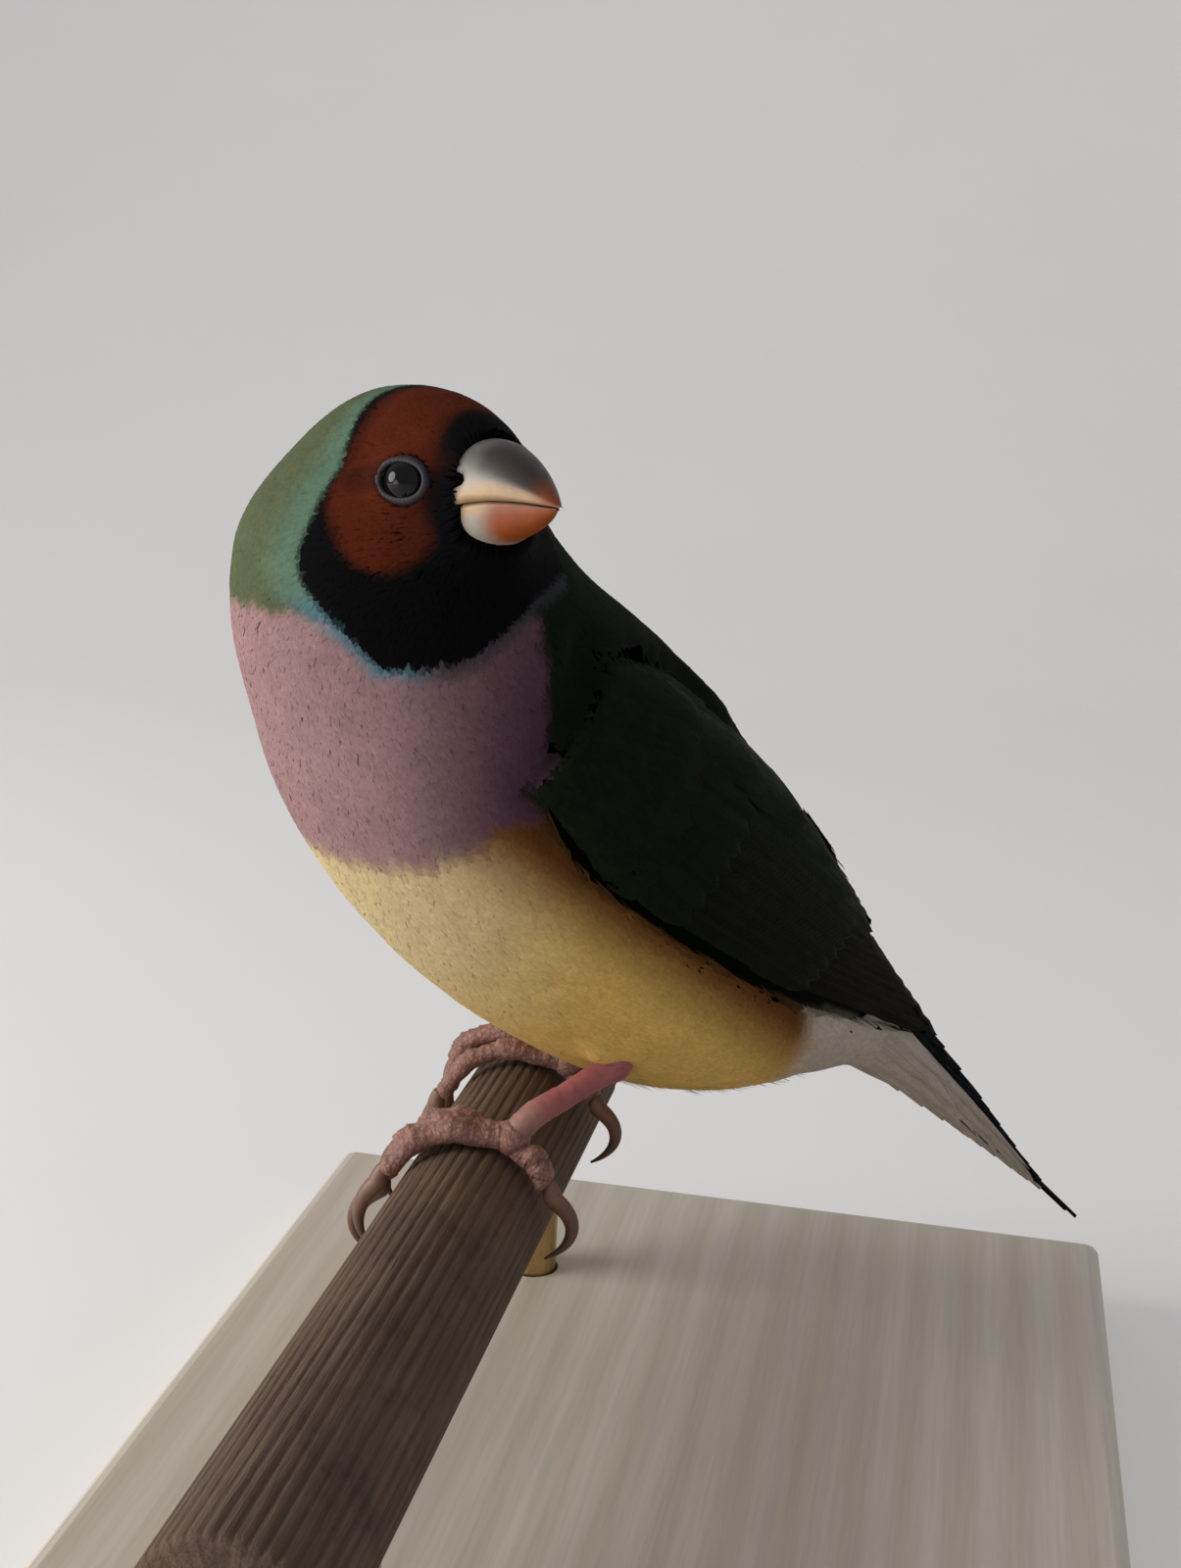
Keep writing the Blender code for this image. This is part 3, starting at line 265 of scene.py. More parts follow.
class FinchStageSettings(bpy.types.PropertyGroup):
    """Lights and floor."""
    key_power: power("Key light", "Power of the large soft light", 2.6)
    fill_power: power("Fill light", "Power of the weak light on the other side", 0.03)
    low_power: power("Low light", "Power of the light under the belly", 0.45)
    surround: FloatProperty(name="Surround", description="Brightness of the air all round", default=0.36, min=0.0)
    floor: colour("Floor", "Colour of the plain floor", srgb(226, 224, 222))


SETTINGS = {
    "finch_plumage": FinchPlumageColours,
    "finch_bare": FinchBareColours,
    "finch_coat": FinchCoatSizes,
    "finch_perch": FinchPerchFinish,
    "finch_stage": FinchStageSettings,
}


# Frames

def from_axes(x, y, z):
    """The turn that carries the axes of space to these three."""
    return Matrix((x, y, z)).transposed().to_4x4()


def body_frame():
    """x runs ahead of the bird, y to its left, z up, from the perch's axis midway between the feet."""
    middle = (FOOT_Y["left"] + FOOT_Y["right"]) / 2
    return (Matrix.Translation((PERCH_CENTRE[0], middle, PERCH_CENTRE[1]))
            @ Matrix.Rotation(math.pi + BODY_YAW, 4, "Z"))


def head_frame():
    """x runs out along the bill, y to the head's own left, z up, from the middle of the head."""
    turn = Matrix.Rotation(HEAD_TURN, 4, "Z") @ Matrix.Rotation(-HEAD_PITCH, 4, "Y")
    return body_frame() @ Matrix.Translation(HEAD_MIDDLE) @ turn


def sloping_frame(start, slope, sign):
    """x runs up a slope (sign 1) or down it (sign -1) in the bird's middle plane, y to its left."""
    along = Vector((sign * math.cos(slope), 0, sign * math.sin(slope)))
    top = Vector((-math.sin(slope), 0, math.cos(slope)))
    return body_frame() @ Matrix.Translation((start[0], 0, start[1])) @ from_axes(along, Vector((0, 1, 0)), top)


BODY = body_frame()
HEAD = head_frame()
TORSO = sloping_frame(TORSO_START, TORSO_SLOPE, 1)
TAIL = sloping_frame(TAIL_ROOT, TAIL_SLOPE, -1)


def carried(points, matrix):
    """The points of an array, carried by a 4x4 matrix."""
    m = np.array(matrix)
    return np.asarray(points) @ m[:3, :3].T + m[:3, 3]


def within(points, matrix):
    """World points in one of the bird's frames, in mm."""
    return carried(points, matrix.inverted()) / MM


def turned(directions, matrix):
    """The directions of an array, turned by a 4x4 matrix."""
    return np.asarray(directions) @ np.array(matrix)[:3, :3].T


def unit(vectors):
    """The same directions at length 1."""
    return vectors / np.maximum(np.linalg.norm(vectors, axis=-1, keepdims=True), 1e-12)


def dot(a, b):
    """Dot products of two arrays of vectors, kept as a column."""
    return (a * b).sum(axis=-1, keepdims=True)


def soft_step(x):
    """0 below 0, 1 above 1 and an even S between."""
    t = np.clip(x, 0, 1)
    return t * t * (3 - 2 * t)


def bell(x):
    """1 at 0, falling away on both sides."""
    return np.exp(-x ** 2)


def read_curve(at, pairs):
    """Straight lines through (place, value) pairs."""
    places, values = np.array(pairs).T
    return np.interp(at, places, values)


def smooth_through(at, knots, values):
    """A curve through the knots with no corners: a cubic Hermite with averaged slopes."""
    at, knots, values = np.atleast_1d(at).astype(float), np.array(knots, float), np.array(values, float)
    if values.ndim == 1:
        values = values[:, None]
    step = np.diff(knots)[:, None]
    rise = np.diff(values, axis=0) / step
    slope = np.vstack([rise[:1], (rise[1:] + rise[:-1]) / 2, rise[-1:]])
    i = np.clip(np.searchsorted(knots, at, side="right") - 1, 0, len(knots) - 2)
    t = np.clip((at - knots[i]) / (knots[i + 1] - knots[i]), 0, 1)[:, None]
    h = knots[i + 1, None] - knots[i, None]
    out = ((1 + 2 * t) * (1 - t) ** 2 * values[i] + t * (1 - t) ** 2 * h * slope[i]
           + t * t * (3 - 2 * t) * values[i + 1] + t * t * (t - 1) * h * slope[i + 1])
    return out[:, 0] if out.shape[1] == 1 else out


# Meshes

def mesh_object(name, points, faces):
    """A smooth mesh object from an array of points and a list of arrays of faces."""
    mesh = bpy.data.meshes.new(name)
    loops = np.concatenate([f.ravel() for f in faces]).astype(np.int32)
    sizes = np.concatenate([np.full(len(f), f.shape[1]) for f in faces])
    starts = np.concatenate([[0], np.cumsum(sizes)[:-1]]).astype(np.int32)
    mesh.vertices.add(len(points))
    mesh.vertices.foreach_set("co", np.ascontiguousarray(points, np.float32).ravel())
    mesh.loops.add(len(loops))
    mesh.loops.foreach_set("vertex_index", loops)
    mesh.polygons.add(len(sizes))
    mesh.polygons.foreach_set("loop_start", starts)
    mesh.polygons.foreach_set("use_smooth", np.ones(len(sizes), bool))
    mesh.update(calc_edges=True)
    obj = bpy.data.objects.new(name, mesh)
    bpy.context.scene.collection.objects.link(obj)
    return obj


def paint(obj, name, colours):
    """Stores a colour for each point."""
    layers = obj.data.color_attributes
    layer = layers.get(name) or layers.new(name, "FLOAT_COLOR", "POINT")
    rgba = np.ones((len(obj.data.vertices), 4), np.float32)
    rgba[:, :3] = colours
    layer.data.foreach_set("color", rgba.ravel())


def note(obj, name, vectors):
    """Stores three numbers for each point."""
    layer = obj.data.attributes.new(name, "FLOAT_VECTOR", "POINT")
    layer.data.foreach_set("vector", np.ascontiguousarray(vectors, np.float32).ravel())


def map_points(obj, uv):
    """A UV map named OFBake from one pair for each point."""
    layer = obj.data.uv_layers.new(name="OFBake")
    corner = np.zeros(len(obj.data.loops), np.int32)
    obj.data.loops.foreach_get("vertex_index", corner)
    layer.data.foreach_set("uv", np.ascontiguousarray(uv[corner], np.float32).ravel())


def finish_piece(obj, finish, replaced=()):
    """Gives a piece its material and its body, and hides the CAD nodes that it stands for."""
    obj.data.materials.append(finish)
    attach(obj, "root")
    if replaced:
        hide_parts(*replaced)


def grid_faces(rows, columns, closed=False):
    """Quads between the rows of a grid of points, closed into rings if asked."""
    i, j = np.meshgrid(np.arange(rows - 1), np.arange(columns if closed else columns - 1), indexing="ij")
    k = (j + 1) % columns
    here, ahead = i * columns, (i + 1) * columns
    return np.stack([here + j, here + k, ahead + k, ahead + j], axis=-1).reshape(-1, 4)


def closed_rings(rows, ring):
    """Faces between rings of points and fans to two more points, in the middle of the first ring and the last."""
    j = np.arange(ring)
    k = (j + 1) % ring
    count, last = rows * ring, (rows - 1) * ring
    fans = np.concatenate([np.stack([k, j, np.full(ring, count)], axis=1),
                           np.stack([last + j, last + k, np.full(ring, count + 1)], axis=1)])
    return [grid_faces(rows, ring, closed=True), fans]


def flipped(faces):
    """The same faces, wound the other way."""
    return [f[:, ::-1] for f in faces]


class Surface:
    """A closed surface that places can be laid on."""

    def __init__(self, mesh):
        self.points = self.read(mesh.vertices, "co")
        self.normals = self.read(mesh.vertex_normals, "vector")
        mesh.calc_loop_triangles()
        triangles = np.zeros(len(mesh.loop_triangles) * 3, np.int32)
        mesh.loop_triangles.foreach_get("vertices", triangles)
        self.triangles = triangles.reshape(-1, 3)
        self.tree = BVHTree.FromPolygons(self.points.tolist(), self.triangles.tolist())

    @staticmethod
    def read(items, key):
        """Three numbers from each item."""
        values = np.zeros(len(items) * 3, np.float32)
        items.foreach_get(key, values)
        return values.reshape(-1, 3).astype(float)

    def nearest(self, places):
        """The nearest points of the surface, and the smooth normals there."""
        found = [self.tree.find_nearest(p) for p in places.tolist()]
        spots = np.array([f[0][:] for f in found])
        corners = self.triangles[[f[2] for f in found]]
        weights = 1 / (np.linalg.norm(self.points[corners] - spots[:, None], axis=2) + 0.05 * MM)
        return spots, unit((self.normals[corners] * weights[..., None]).sum(axis=1))


def smooth_surface(nodes, push, voxel, rounds):
    """CAD nodes swelled a little, so that their gaps close, and made into one smooth surface over the thighs."""
    work = bmesh.new()
    for side in HEELS:
        heel, knee = BODY @ Vector(HEELS[side]), BODY @ Vector(KNEES[side])
        for share in THIGH_SHARES:
            bmesh.ops.create_icosphere(work, subdivisions=2, radius=THIGH_RADIUS,
                                       matrix=Matrix.Translation(heel.lerp(knee, share)))
    for node in nodes:
        work.from_mesh(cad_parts[node].data)
    bmesh.ops.remove_doubles(work, verts=work.verts, dist=0.01 * MM)
    work.normal_update()
    for vert in work.verts:
        vert.co += vert.normal * push
    mesh = bpy.data.meshes.new("surface")
    work.to_mesh(mesh)
    work.free()
    obj = bpy.data.objects.new("surface", mesh)
    bpy.context.scene.collection.objects.link(obj)
    remesh = obj.modifiers.new("skin", "REMESH")
    remesh.mode = "VOXEL"
    remesh.voxel_size = voxel
    even = obj.modifiers.new("even", "SMOOTH")
    even.factor = 0.5
    even.iterations = rounds
    bpy.context.view_layer.update()
    done = bpy.data.meshes.new_from_object(obj.evaluated_get(bpy.context.evaluated_depsgraph_get()))
    surface = Surface(done)
    bpy.data.objects.remove(obj)
    bpy.data.meshes.remove(mesh)
    bpy.data.meshes.remove(done)
    return surface


@cache
def outline_surface():
    """The body's outline out to the feather tips."""
    return smooth_surface(FLESH + FACE, push=0.22 * MM, voxel=0.45 * MM, rounds=5)


@cache
def drape_surface():
    """The outline with the folded wings and the tail in place, which body feathers lie over."""
    return smooth_surface(FLESH + FACE + WINGS + ("tail",), push=0.3 * MM, voxel=0.6 * MM, rounds=10)


@cache
def nodes_tree(*names):
    """The surfaces of some CAD nodes, for finding what is near or in the way."""
    points, faces = [], []
    for name in names:
        obj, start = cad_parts[name], len(points)
        points += [v.co[:] for v in obj.data.vertices]
        faces += [[start + i for i in p.vertices] for p in obj.data.polygons]
    return BVHTree.FromPolygons(points, faces)


def eye_middle(name):
    """The middle of the left or right eye."""
    low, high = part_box("eye_" + name)
    return np.array((low + high) / 2)


# Markings

def torso_place(points):
    """World points along the torso's axis from the vent, and above it, in mm."""
    body = within(points, BODY)
    forward, up = body[:, 0] - TORSO_START[0] / MM, body[:, 2] - TORSO_START[1] / MM
    along = forward * math.cos(TORSO_SLOPE) + up * math.sin(TORSO_SLOPE)
    above = -forward * math.sin(TORSO_SLOPE) + up * math.cos(TORSO_SLOPE)
    return along, above


def wing_plane(body):
    """Body points in mm in the folded wing's plane: along it from the wrist, and across it to the back."""
    forward, up = body[:, 0] - WRIST[0] / MM, body[:, 2] - WRIST[1] / MM
    along = -forward * math.cos(WING_SLOPE) - up * math.sin(WING_SLOPE)
    across = -forward * math.sin(WING_SLOPE) + up * math.cos(WING_SLOPE)
    return along, across


def over(base, tint, share):
    """A colour, or one for each point, with a tint laid over it by a share for each point."""
    return np.array(base) * (1 - share[:, None]) + np.array(tint) * share[:, None]


def between(low, high, share):
    """The value at a share of the way from low to high."""
    return low + (high - low) * share


def body_markings(points, hues, ripple):
    """Belly, flank, vent, breast, back, rump and nape."""
    body = within(points, BODY)
    front, side, high = body.T
    _, above = torso_place(points)
    wing_along, wing_across = wing_plane(body)
    over_edge = wing_across - np.interp(wing_along, WING_STATIONS, WING_LOWER_EDGE)

    shade = over(hues.belly_yellow, hues.belly_cream, soft_step((front + 4.0) / 16))
    # The flank turns orange towards the wing: partly its own tint, partly painted shade under the wing.
    flank = soft_step((wing_across + 14.5) / 8) * soft_step((front + 32) / 8)
    shade = over(shade, hues.flank_orange, flank)
    # Painted shadow: the flank darkens to under half its colour just below the wing's lower edge.
    shade = shade * (1 - 0.55 * soft_step((wing_across + 9.5) / 5))[:, None]
    shade = over(shade, hues.vent_white, soft_step((-front - 27.0 + ripple) / 5 + 0.5))
    border = 33.8 + 5.2 * np.clip(np.abs(side) / 16.5, 0, 1.1) ** 6
    mauve = soft_step((high - border + ripple * 0.8) / 2.2 + 0.5)
    shade = over(shade, np.array(hues.flank_orange) * 1.15, mauve * (1 - mauve))
    # From mauve at the front to deeper purple at the sides by the wings: partly the breast's own colour, partly
    # painted shade on the sides.
    beside = soft_step((np.abs(side) + 0.5 * (13.0 - front) - 8.5) / 12.5)
    shade = over(shade, over(hues.breast_mauve, hues.breast_purple, beside), mauve)

    back = soft_step((3.6 - front + ripple) / 1.6 + 0.5) * soft_step((over_edge - 0.3) / 1.2 + 0.5)
    bend = soft_step((wing_along + 0.5) / 1.2 + 0.5) * soft_step((over_edge + 0.2) / 1.2 + 0.5)
    back = np.maximum(back, bend * soft_step(np.abs(side) - 9.0))
    back = np.maximum(back, soft_step((above - 11.0) / 3) * soft_step((45.0 - high) / 4))
    shade = over(shade, hues.mantle_green, back)
    tail_along, _, tail_up = within(points, TAIL).T
    rump = soft_step((tail_along + 20.0) / 5) * soft_step((tail_up - 1.7) / 0.9 + 0.5)
    shade = over(shade, hues.rump_blue, rump * soft_step((-front - 20.0) / 4))
    green = over(hues.nape_green, hues.mantle_green, soft_step((9.5 - front) / 6))
    return over(shade, green, soft_step((high - 55.0 + ripple * 0.6) / 1.3 + 0.5))


def head_markings(points, hues, ripple, shade):
    """The black mask laid over the body's shade, its red crown and cheek, and the teal and blue line behind it."""
    forward, left, up = within(points, HEAD).T
    mask = np.minimum(forward - read_curve(up, MASK_BACK), up - read_curve(left, MASK_FLOOR))
    at_back = soft_step((up + 6) / 2) * soft_step((6.5 - forward) / 2)
    at_back = np.clip(soft_step((-5.5 - left) / 3 + 0.5) + at_back, 0, 1)
    band = soft_step(1.0 + mask / read_curve(up, BAND_WIDTH)) * at_back
    shade = over(shade, over(hues.collar_teal, hues.collar_blue, soft_step((-5.5 - up) / 3)), 0.9 * band)
    shade = over(shade, FRINGE_GREY, 0.75 * soft_step(1.3 + mask / 1.4) * (1 - at_back))
    shade = over(shade, hues.mask_black, soft_step(mask / 0.7 + 0.5))

    red = np.minimum(forward - read_curve(up, RED_BACK), read_curve(up, RED_FRONT) - forward)
    red = np.minimum(red, up + 5.6)
    red = np.where((left > 2.0) & (up < 2.0), np.minimum(red, 7.0 - forward), red)
    # Painted shade: the red darkens behind the eye and on the face below the eye towards the bill.
    behind_eye = np.hypot((forward - 6.0) / 1.4, (up - 2.3) / 0.8)
    painted_shade = (1 - 0.45 * soft_step(1.8 - behind_eye)) * (1 - 0.35 * soft_step((forward - 6.5) / 3) * (up < 2.5))
    return over(shade, hues.mask_red, soft_step((red + ripple * 0.3) / 1.7 + 0.35) * soft_step(mask / 0.5) * painted_shade)


def markings(points):
    """The plumage's colours at world points."""
    hues = bpy.context.scene.finch_plumage
    front, side, high = within(points, BODY).T
    ripple = 0.35 * np.sin(side * 1.7 + high * 0.9) + 0.25 * np.sin(side * 3.9 - front * 2.3)
    return head_markings(points, hues, ripple, body_markings(points, hues, ripple))


def coat_depth(points):
    """How far the skin lies under the coat: less on the head and the vent, and more beside the eyes."""
    sizes = bpy.context.scene.finch_coat
    away = np.linalg.norm(carried(points, HEAD.inverted()), axis=1)
    depth = between(sizes.head_depth, sizes.body_depth, soft_step((away - 10.5 * MM) / (7 * MM)))
    front = carried(points, BODY.inverted())[:, 0]
    depth = depth * (1 - 0.5 * soft_step((-front - 34 * MM) / (14 * MM)))
    for name, _ in SIDES:
        away = np.linalg.norm(points - eye_middle(name), axis=1)
        depth = depth + 0.8 * MM * soft_step((3.0 * MM - away) / (0.8 * MM))
    return depth


def lie_of_coat(places, normals):
    """The way the feathers point: back from the bill on the head, and towards the tail on the body."""
    head = carried(places, HEAD.inverted())
    from_bill = turned(unit(head - BILL_FRONT), HEAD)
    back = turned([[-math.cos(TORSO_SLOPE), 0, -math.sin(TORSO_SLOPE)]], BODY)
    spread = np.zeros_like(places)
    spread[:, 1] = np.clip(carried(places, BODY.inverted())[:, 1] / (18 * MM), -1, 1) * 0.18
    down_body = unit(back + turned(spread, BODY))
    share = soft_step((np.linalg.norm(head, axis=1) - HEAD_COAT) / NECK_FADE)[:, None]
    aim = from_bill * (1 - share) + down_body * share
    return unit(aim - normals * dot(aim, normals))


# Feathers

# A tuft is a root, two rings of three points and a tip
TUFT_STATIONS = (0.0, 0.40, 0.84, 1.0)
TUFT_WIDTHS = (0.0, 0.95, 0.95, 0.0)
TUFT_RING = ((-1.0, -0.08), (0.0, 0.10), (1.0, -0.08))
TUFT_ENDS = ((0.0, 0.0),)
TUFT_MARKS = np.array([(side, t) for t, wide in zip(TUFT_STATIONS, TUFT_WIDTHS)
                       for side, _ in (TUFT_RING if wide else TUFT_ENDS)])
TUFT_POINTS = len(TUFT_MARKS)
TUFT_SHOWN = slice(4, 8)
TUFT_TOPS = ((1, 5, 2), (1, 4, 5), (2, 6, 3), (2, 5, 6), (5, 4, 7), (6, 5, 7))
TUFT_CELL = 0.003
LEAST_OPEN = 0.3

WISP_COUNT = 340
WISP_CREAM = (0.62, 0.56, 0.45)

# What keeps the coat clear
WING_CLEARANCE = 0.45 * MM
BILL_CLEARANCE = {"upper": 0.48 * MM, "lower": 0.70 * MM}
COAT_FRONT = BILL_ROOT + 2.4 * MM
COAT_END = 4.5 * MM
WING_KEPT = (1.0, 60.0)
WING_MARGINS = (-0.1, -1.0)
WING_SIDE = 6.0


def scattered(surface, spacing_of, chance, densest):
    """Evenly scattered places on a surface: one in each small cell, sized by spacing_of(points)."""
    corners = surface.points[surface.triangles]
    sides = corners[:, 1:] - corners[:, :1]
    areas = np.linalg.norm(np.cross(sides[:, 0], sides[:, 1]), axis=1) / 2
    count = int(areas.sum() / densest ** 2 * 2.2)
    picks = chance.choice(len(areas), count, p=areas / areas.sum())
    a, b = chance.random((2, count))
    flip = a + b > 1
    a, b = np.where(flip, 1 - a, a), np.where(flip, 1 - b, b)
    points = corners[picks, 0] + sides[picks, 0] * a[:, None] + sides[picks, 1] * b[:, None]
    levels = np.round(np.log2(spacing_of(points) / densest) * 2)
    cell = densest * 2 ** (levels / 2)
    keys = np.concatenate([np.floor(points / cell[:, None]), levels[:, None]], axis=1).astype(np.int64)
    _, first = np.unique(keys, axis=0, return_index=True)
    return points[np.sort(first)]


def bare_places(places):
    """True where another part covers the coat or pushes it aside."""
    cover = nodes_tree(*WINGS, "tail")
    bill = nodes_tree("bill_upper", "bill_lower")
    head = carried(places, HEAD.inverted())
    covered = (head[:, 0] > COAT_FRONT) | (carried(places, TAIL.inverted())[:, 0] > COAT_END)
    for name, _ in SIDES:
        covered |= np.linalg.norm(places - eye_middle(name), axis=1) < EYE_CLEARING
    for i, place in enumerate(places.tolist()):
        covered[i] |= cover.find_nearest(place, WING_CLEARANCE)[0] is not None
        if head[i, 0] > 8 * MM:
            near = BILL_CLEARANCE["upper" if head[i, 2] > BILL_MOUTH else "lower"]
            covered[i] |= bill.find_nearest(place, near)[0] is not None
    return covered


def lay_tufts(places, aims, lengths, widths, depths, tips, surface):
    """The points and normals of closed narrow vanes that start under the coat and follow the surface."""
    spot, normal = surface.nearest(places)
    aim = unit(aims - normal * dot(aims, normal))
    points, shading = [], []
    last = 0.0
    for t, wide in zip(TUFT_STATIONS, TUFT_WIDTHS):
        if t > 0:
            spot, normal = surface.nearest(spot + aim * (lengths * (t - last))[:, None])
            aim = unit(aim - normal * dot(aim, normal))
        last = t
        sunk = depths * (1 - t) ** 3.2 - tips * t ** 2
        middle = spot - normal * sunk[:, None]
        across = np.cross(normal, aim)
        half = (widths * wide / 2)[:, None]
        for side, rise in TUFT_RING if wide else TUFT_ENDS:
            points.append(middle + across * side * half + normal * rise * half)
            shading.append(unit(normal + across * side * 0.12 + aim * 0.05 * t))
    return np.stack(points, axis=1), np.stack(shading, axis=1)


def lies_open(points, shading):
    """True for each tuft whose upper faces all look outward, so that none shows its underside in a fold."""
    flat = np.ones(len(points), bool)
    for corners in TUFT_TOPS:
        a, b, c = (points[:, corner] for corner in corners)
        outward = unit(shading[:, corners].sum(axis=1))
        flat &= dot(unit(np.cross(b - a, c - a)), outward)[:, 0] > LEAST_OPEN
    return flat


def tuft_faces(count):
    """Triangles of closed tufts: a root, two rings of three points and a tip."""
    one = []
    for k in range(3):
        m = (k + 1) % 3
        one += [(0, 1 + k, 1 + m), (1 + k, 4 + m, 1 + m), (1 + k, 4 + k, 4 + m), (4 + m, 4 + k, 7)]
    return (np.array(one)[None] + (np.arange(count) * TUFT_POINTS)[:, None, None]).reshape(-1, 3)


def tuft_object(name, points, shading, colours, unwrap, seeds):
    """One joined mesh of tufts, painted, mapped and shaded like the coat's own surface."""
    count = len(points)
    obj = mesh_object(name, points.reshape(-1, 3), [tuft_faces(count)])
    paint(obj, "Marking", np.repeat(colours, TUFT_POINTS, axis=0))
    marks = np.tile(TUFT_MARKS, (count, 1))
    note(obj, "Barb", np.column_stack([marks, np.repeat(seeds, TUFT_POINTS)]))
    uv = np.repeat(unwrap, TUFT_POINTS, axis=0) + (marks * (0.5, 1.0) + (0.5, 0.0)) * TUFT_CELL
    map_points(obj, np.clip(uv, 0, 1))
    obj.data.normals_split_custom_set_from_vertices(shading.reshape(-1, 3).tolist())
    finish_piece(obj, made_once(soft_feather))


def round_unwrap(places, matrix, reach):
    """Turns round an axis against distance along it, both 0 to 1, as an unwrap of a rounded form."""
    local = carried(places, matrix.inverted())
    turn = np.arctan2(local[:, 1], -local[:, 2]) / (2 * math.pi) + 0.5
    low, high = reach
    along = np.clip((local[:, 0] - low) / (high - low), 0, 1)
    return np.stack([0.01 + 0.975 * turn, 0.01 + 0.975 * along], axis=1)


# Finishes

class Wiring:
    """A short way to add and join shader nodes."""

    def __init__(self, name):
        self.material = bpy.data.materials.new(name)
        self.material.use_nodes = True
        self.tree = self.material.node_tree
        self.shader = self.tree.nodes["Principled BSDF"]

    def add(self, kind, **values):
        """A new node, with its settings."""
        made = self.tree.nodes.new("ShaderNode" + kind)
        for key, value in values.items():
            setattr(made, key, value)
        return made

    def feed(self, target, value):
        """Joins a socket to the target, or sets a plain value on it."""
        if isinstance(value, bpy.types.NodeSocket):
            self.tree.links.new(value, target)
        else:
            target.default_value = value

    def maths(self, operation, *values):
        """One step of arithmetic on sockets or plain numbers."""
        made = self.add("Math", operation=operation)
        for slot, value in zip(made.inputs, values):
            self.feed(slot, value)
        return made.outputs[0]

    def times(self, first, *others):
        """The product of all the values."""
        for value in others:
            first = self.maths("MULTIPLY", first, value)
        return first

    def fade(self, value, low, high, start=0.3, end=0.7):
        """From low to high as the value goes from start to end; noise keeps mostly to 0.3 to 0.7."""
        made = self.add("MapRange")
        for key, given in (("Value", value), ("From Min", start), ("From Max", end), ("To Min", low),
                           ("To Max", high)):
            self.feed(made.inputs[key], given)
        return made.outputs["Result"]

    def noise(self, vector, scale, detail=3.0, roughness=0.55):
        """Soft mottling, most of it between 0.3 and 0.7."""
        made = self.add("TexNoise")
        for key, given in (("Vector", vector), ("Scale", scale), ("Detail", detail), ("Roughness", roughness)):
            self.feed(made.inputs[key], given)
        return made.outputs["Fac"]

    def stretched(self, source, scale):
        """The source, scaled by its own amount on each axis."""
        made = self.add("Mapping")
        self.feed(made.inputs["Vector"], source)
        made.inputs["Scale"].default_value = scale
        return made.outputs["Vector"]

    def grain(self, source, scale, detail=3.0, roughness=0.55):
        """Noise drawn out along the axes that have the smallest scales."""
        return self.noise(self.stretched(source, scale), 1.0, detail, roughness)

    def tinted(self, colour_socket, factor):
        """The colour times a grey factor."""
        made = self.add("VectorMath", operation="SCALE")
        self.feed(made.inputs[0], colour_socket)
        self.feed(made.inputs["Scale"], factor)
        return made.outputs["Vector"]

    def marking(self, *factors):
        """The colour stored on the mesh, times grey factors."""
        return self.tinted(self.stored("Marking", "Color"), self.times(*factors))

    def mixed(self, first, second, share):
        """One colour laid over another by a share."""
        made = self.add("Mix", data_type="RGBA")
        for key, given in ((6, first), (7, second), ("Factor", share)):
            self.feed(made.inputs[key], given)
        return made.outputs[2]

    def place(self):
        """Where each point is, in metres."""
        return self.add("TexCoord").outputs["Object"]

    def stored(self, name, output):
        """What each point of the mesh keeps under this name."""
        return self.add("Attribute", attribute_name=name).outputs[output]

    def split(self, vector):
        """The vector's x and y."""
        made = self.add("SeparateXYZ")
        self.feed(made.inputs[0], vector)
        return made.outputs["X"], made.outputs["Y"]

    def bump(self, height, strength, distance):
        """Relief too fine to model."""
        made = self.add("Bump")
        for key, given in (("Strength", strength), ("Distance", distance), ("Height", height)):
            self.feed(made.inputs[key], given)
        self.set(Normal=made.outputs["Normal"])

    def set(self, **values):
        """Sets or joins the shader's own sockets."""
        for key, value in values.items():
            self.feed(self.shader.inputs[key.replace("_", " ")], value)
        return self.material


def made_once(maker):
    """The material that carries its maker's name, made only if it is not there yet."""
    return bpy.data.materials.get(maker.__name__) or maker()


def soft_feather():
    """Loose body plumage: fine streaks along each feather, a little lighter at its tip."""
    w = Wiring("soft_feather")
    barb = w.stored("Barb", "Vector")
    streaks = w.grain(barb, (5.0, 1.1, 97.0), 2.0, 0.6)
    _, along = w.split(barb)
    mottle = w.noise(w.place(), 420.0)
    fine = w.noise(w.place(), 2600.0, 2.0)
    w.bump(streaks, 0.35, 0.1 * MM)
    return w.set(
        Base_Color=w.marking(w.fade(streaks, 0.84, 1.16, 0.25, 0.75), w.fade(mottle, 0.93, 1.07),
                             w.fade(fine, 0.92, 1.08), w.fade(along, 0.90, 1.05, 0.2, 1.0)),
        Roughness=w.fade(streaks, 0.72, 0.92),
        Specular_IOR_Level=0.06)


def under_feather():
    """Down and skin between the feathers, with the same markings."""
    w = Wiring("under_feather")
    grain = w.noise(w.place(), 1500.0)
    broad = w.noise(w.place(), 260.0, 2.0)
    w.bump(grain, 0.5, 0.2 * MM)
    return w.set(
        Base_Color=w.marking(w.fade(grain, 0.60, 0.88), w.fade(broad, 0.9, 1.1)),
        Roughness=w.fade(grain, 0.8, 0.95, 0.0, 1.0),
        Specular_IOR_Level=0.05)


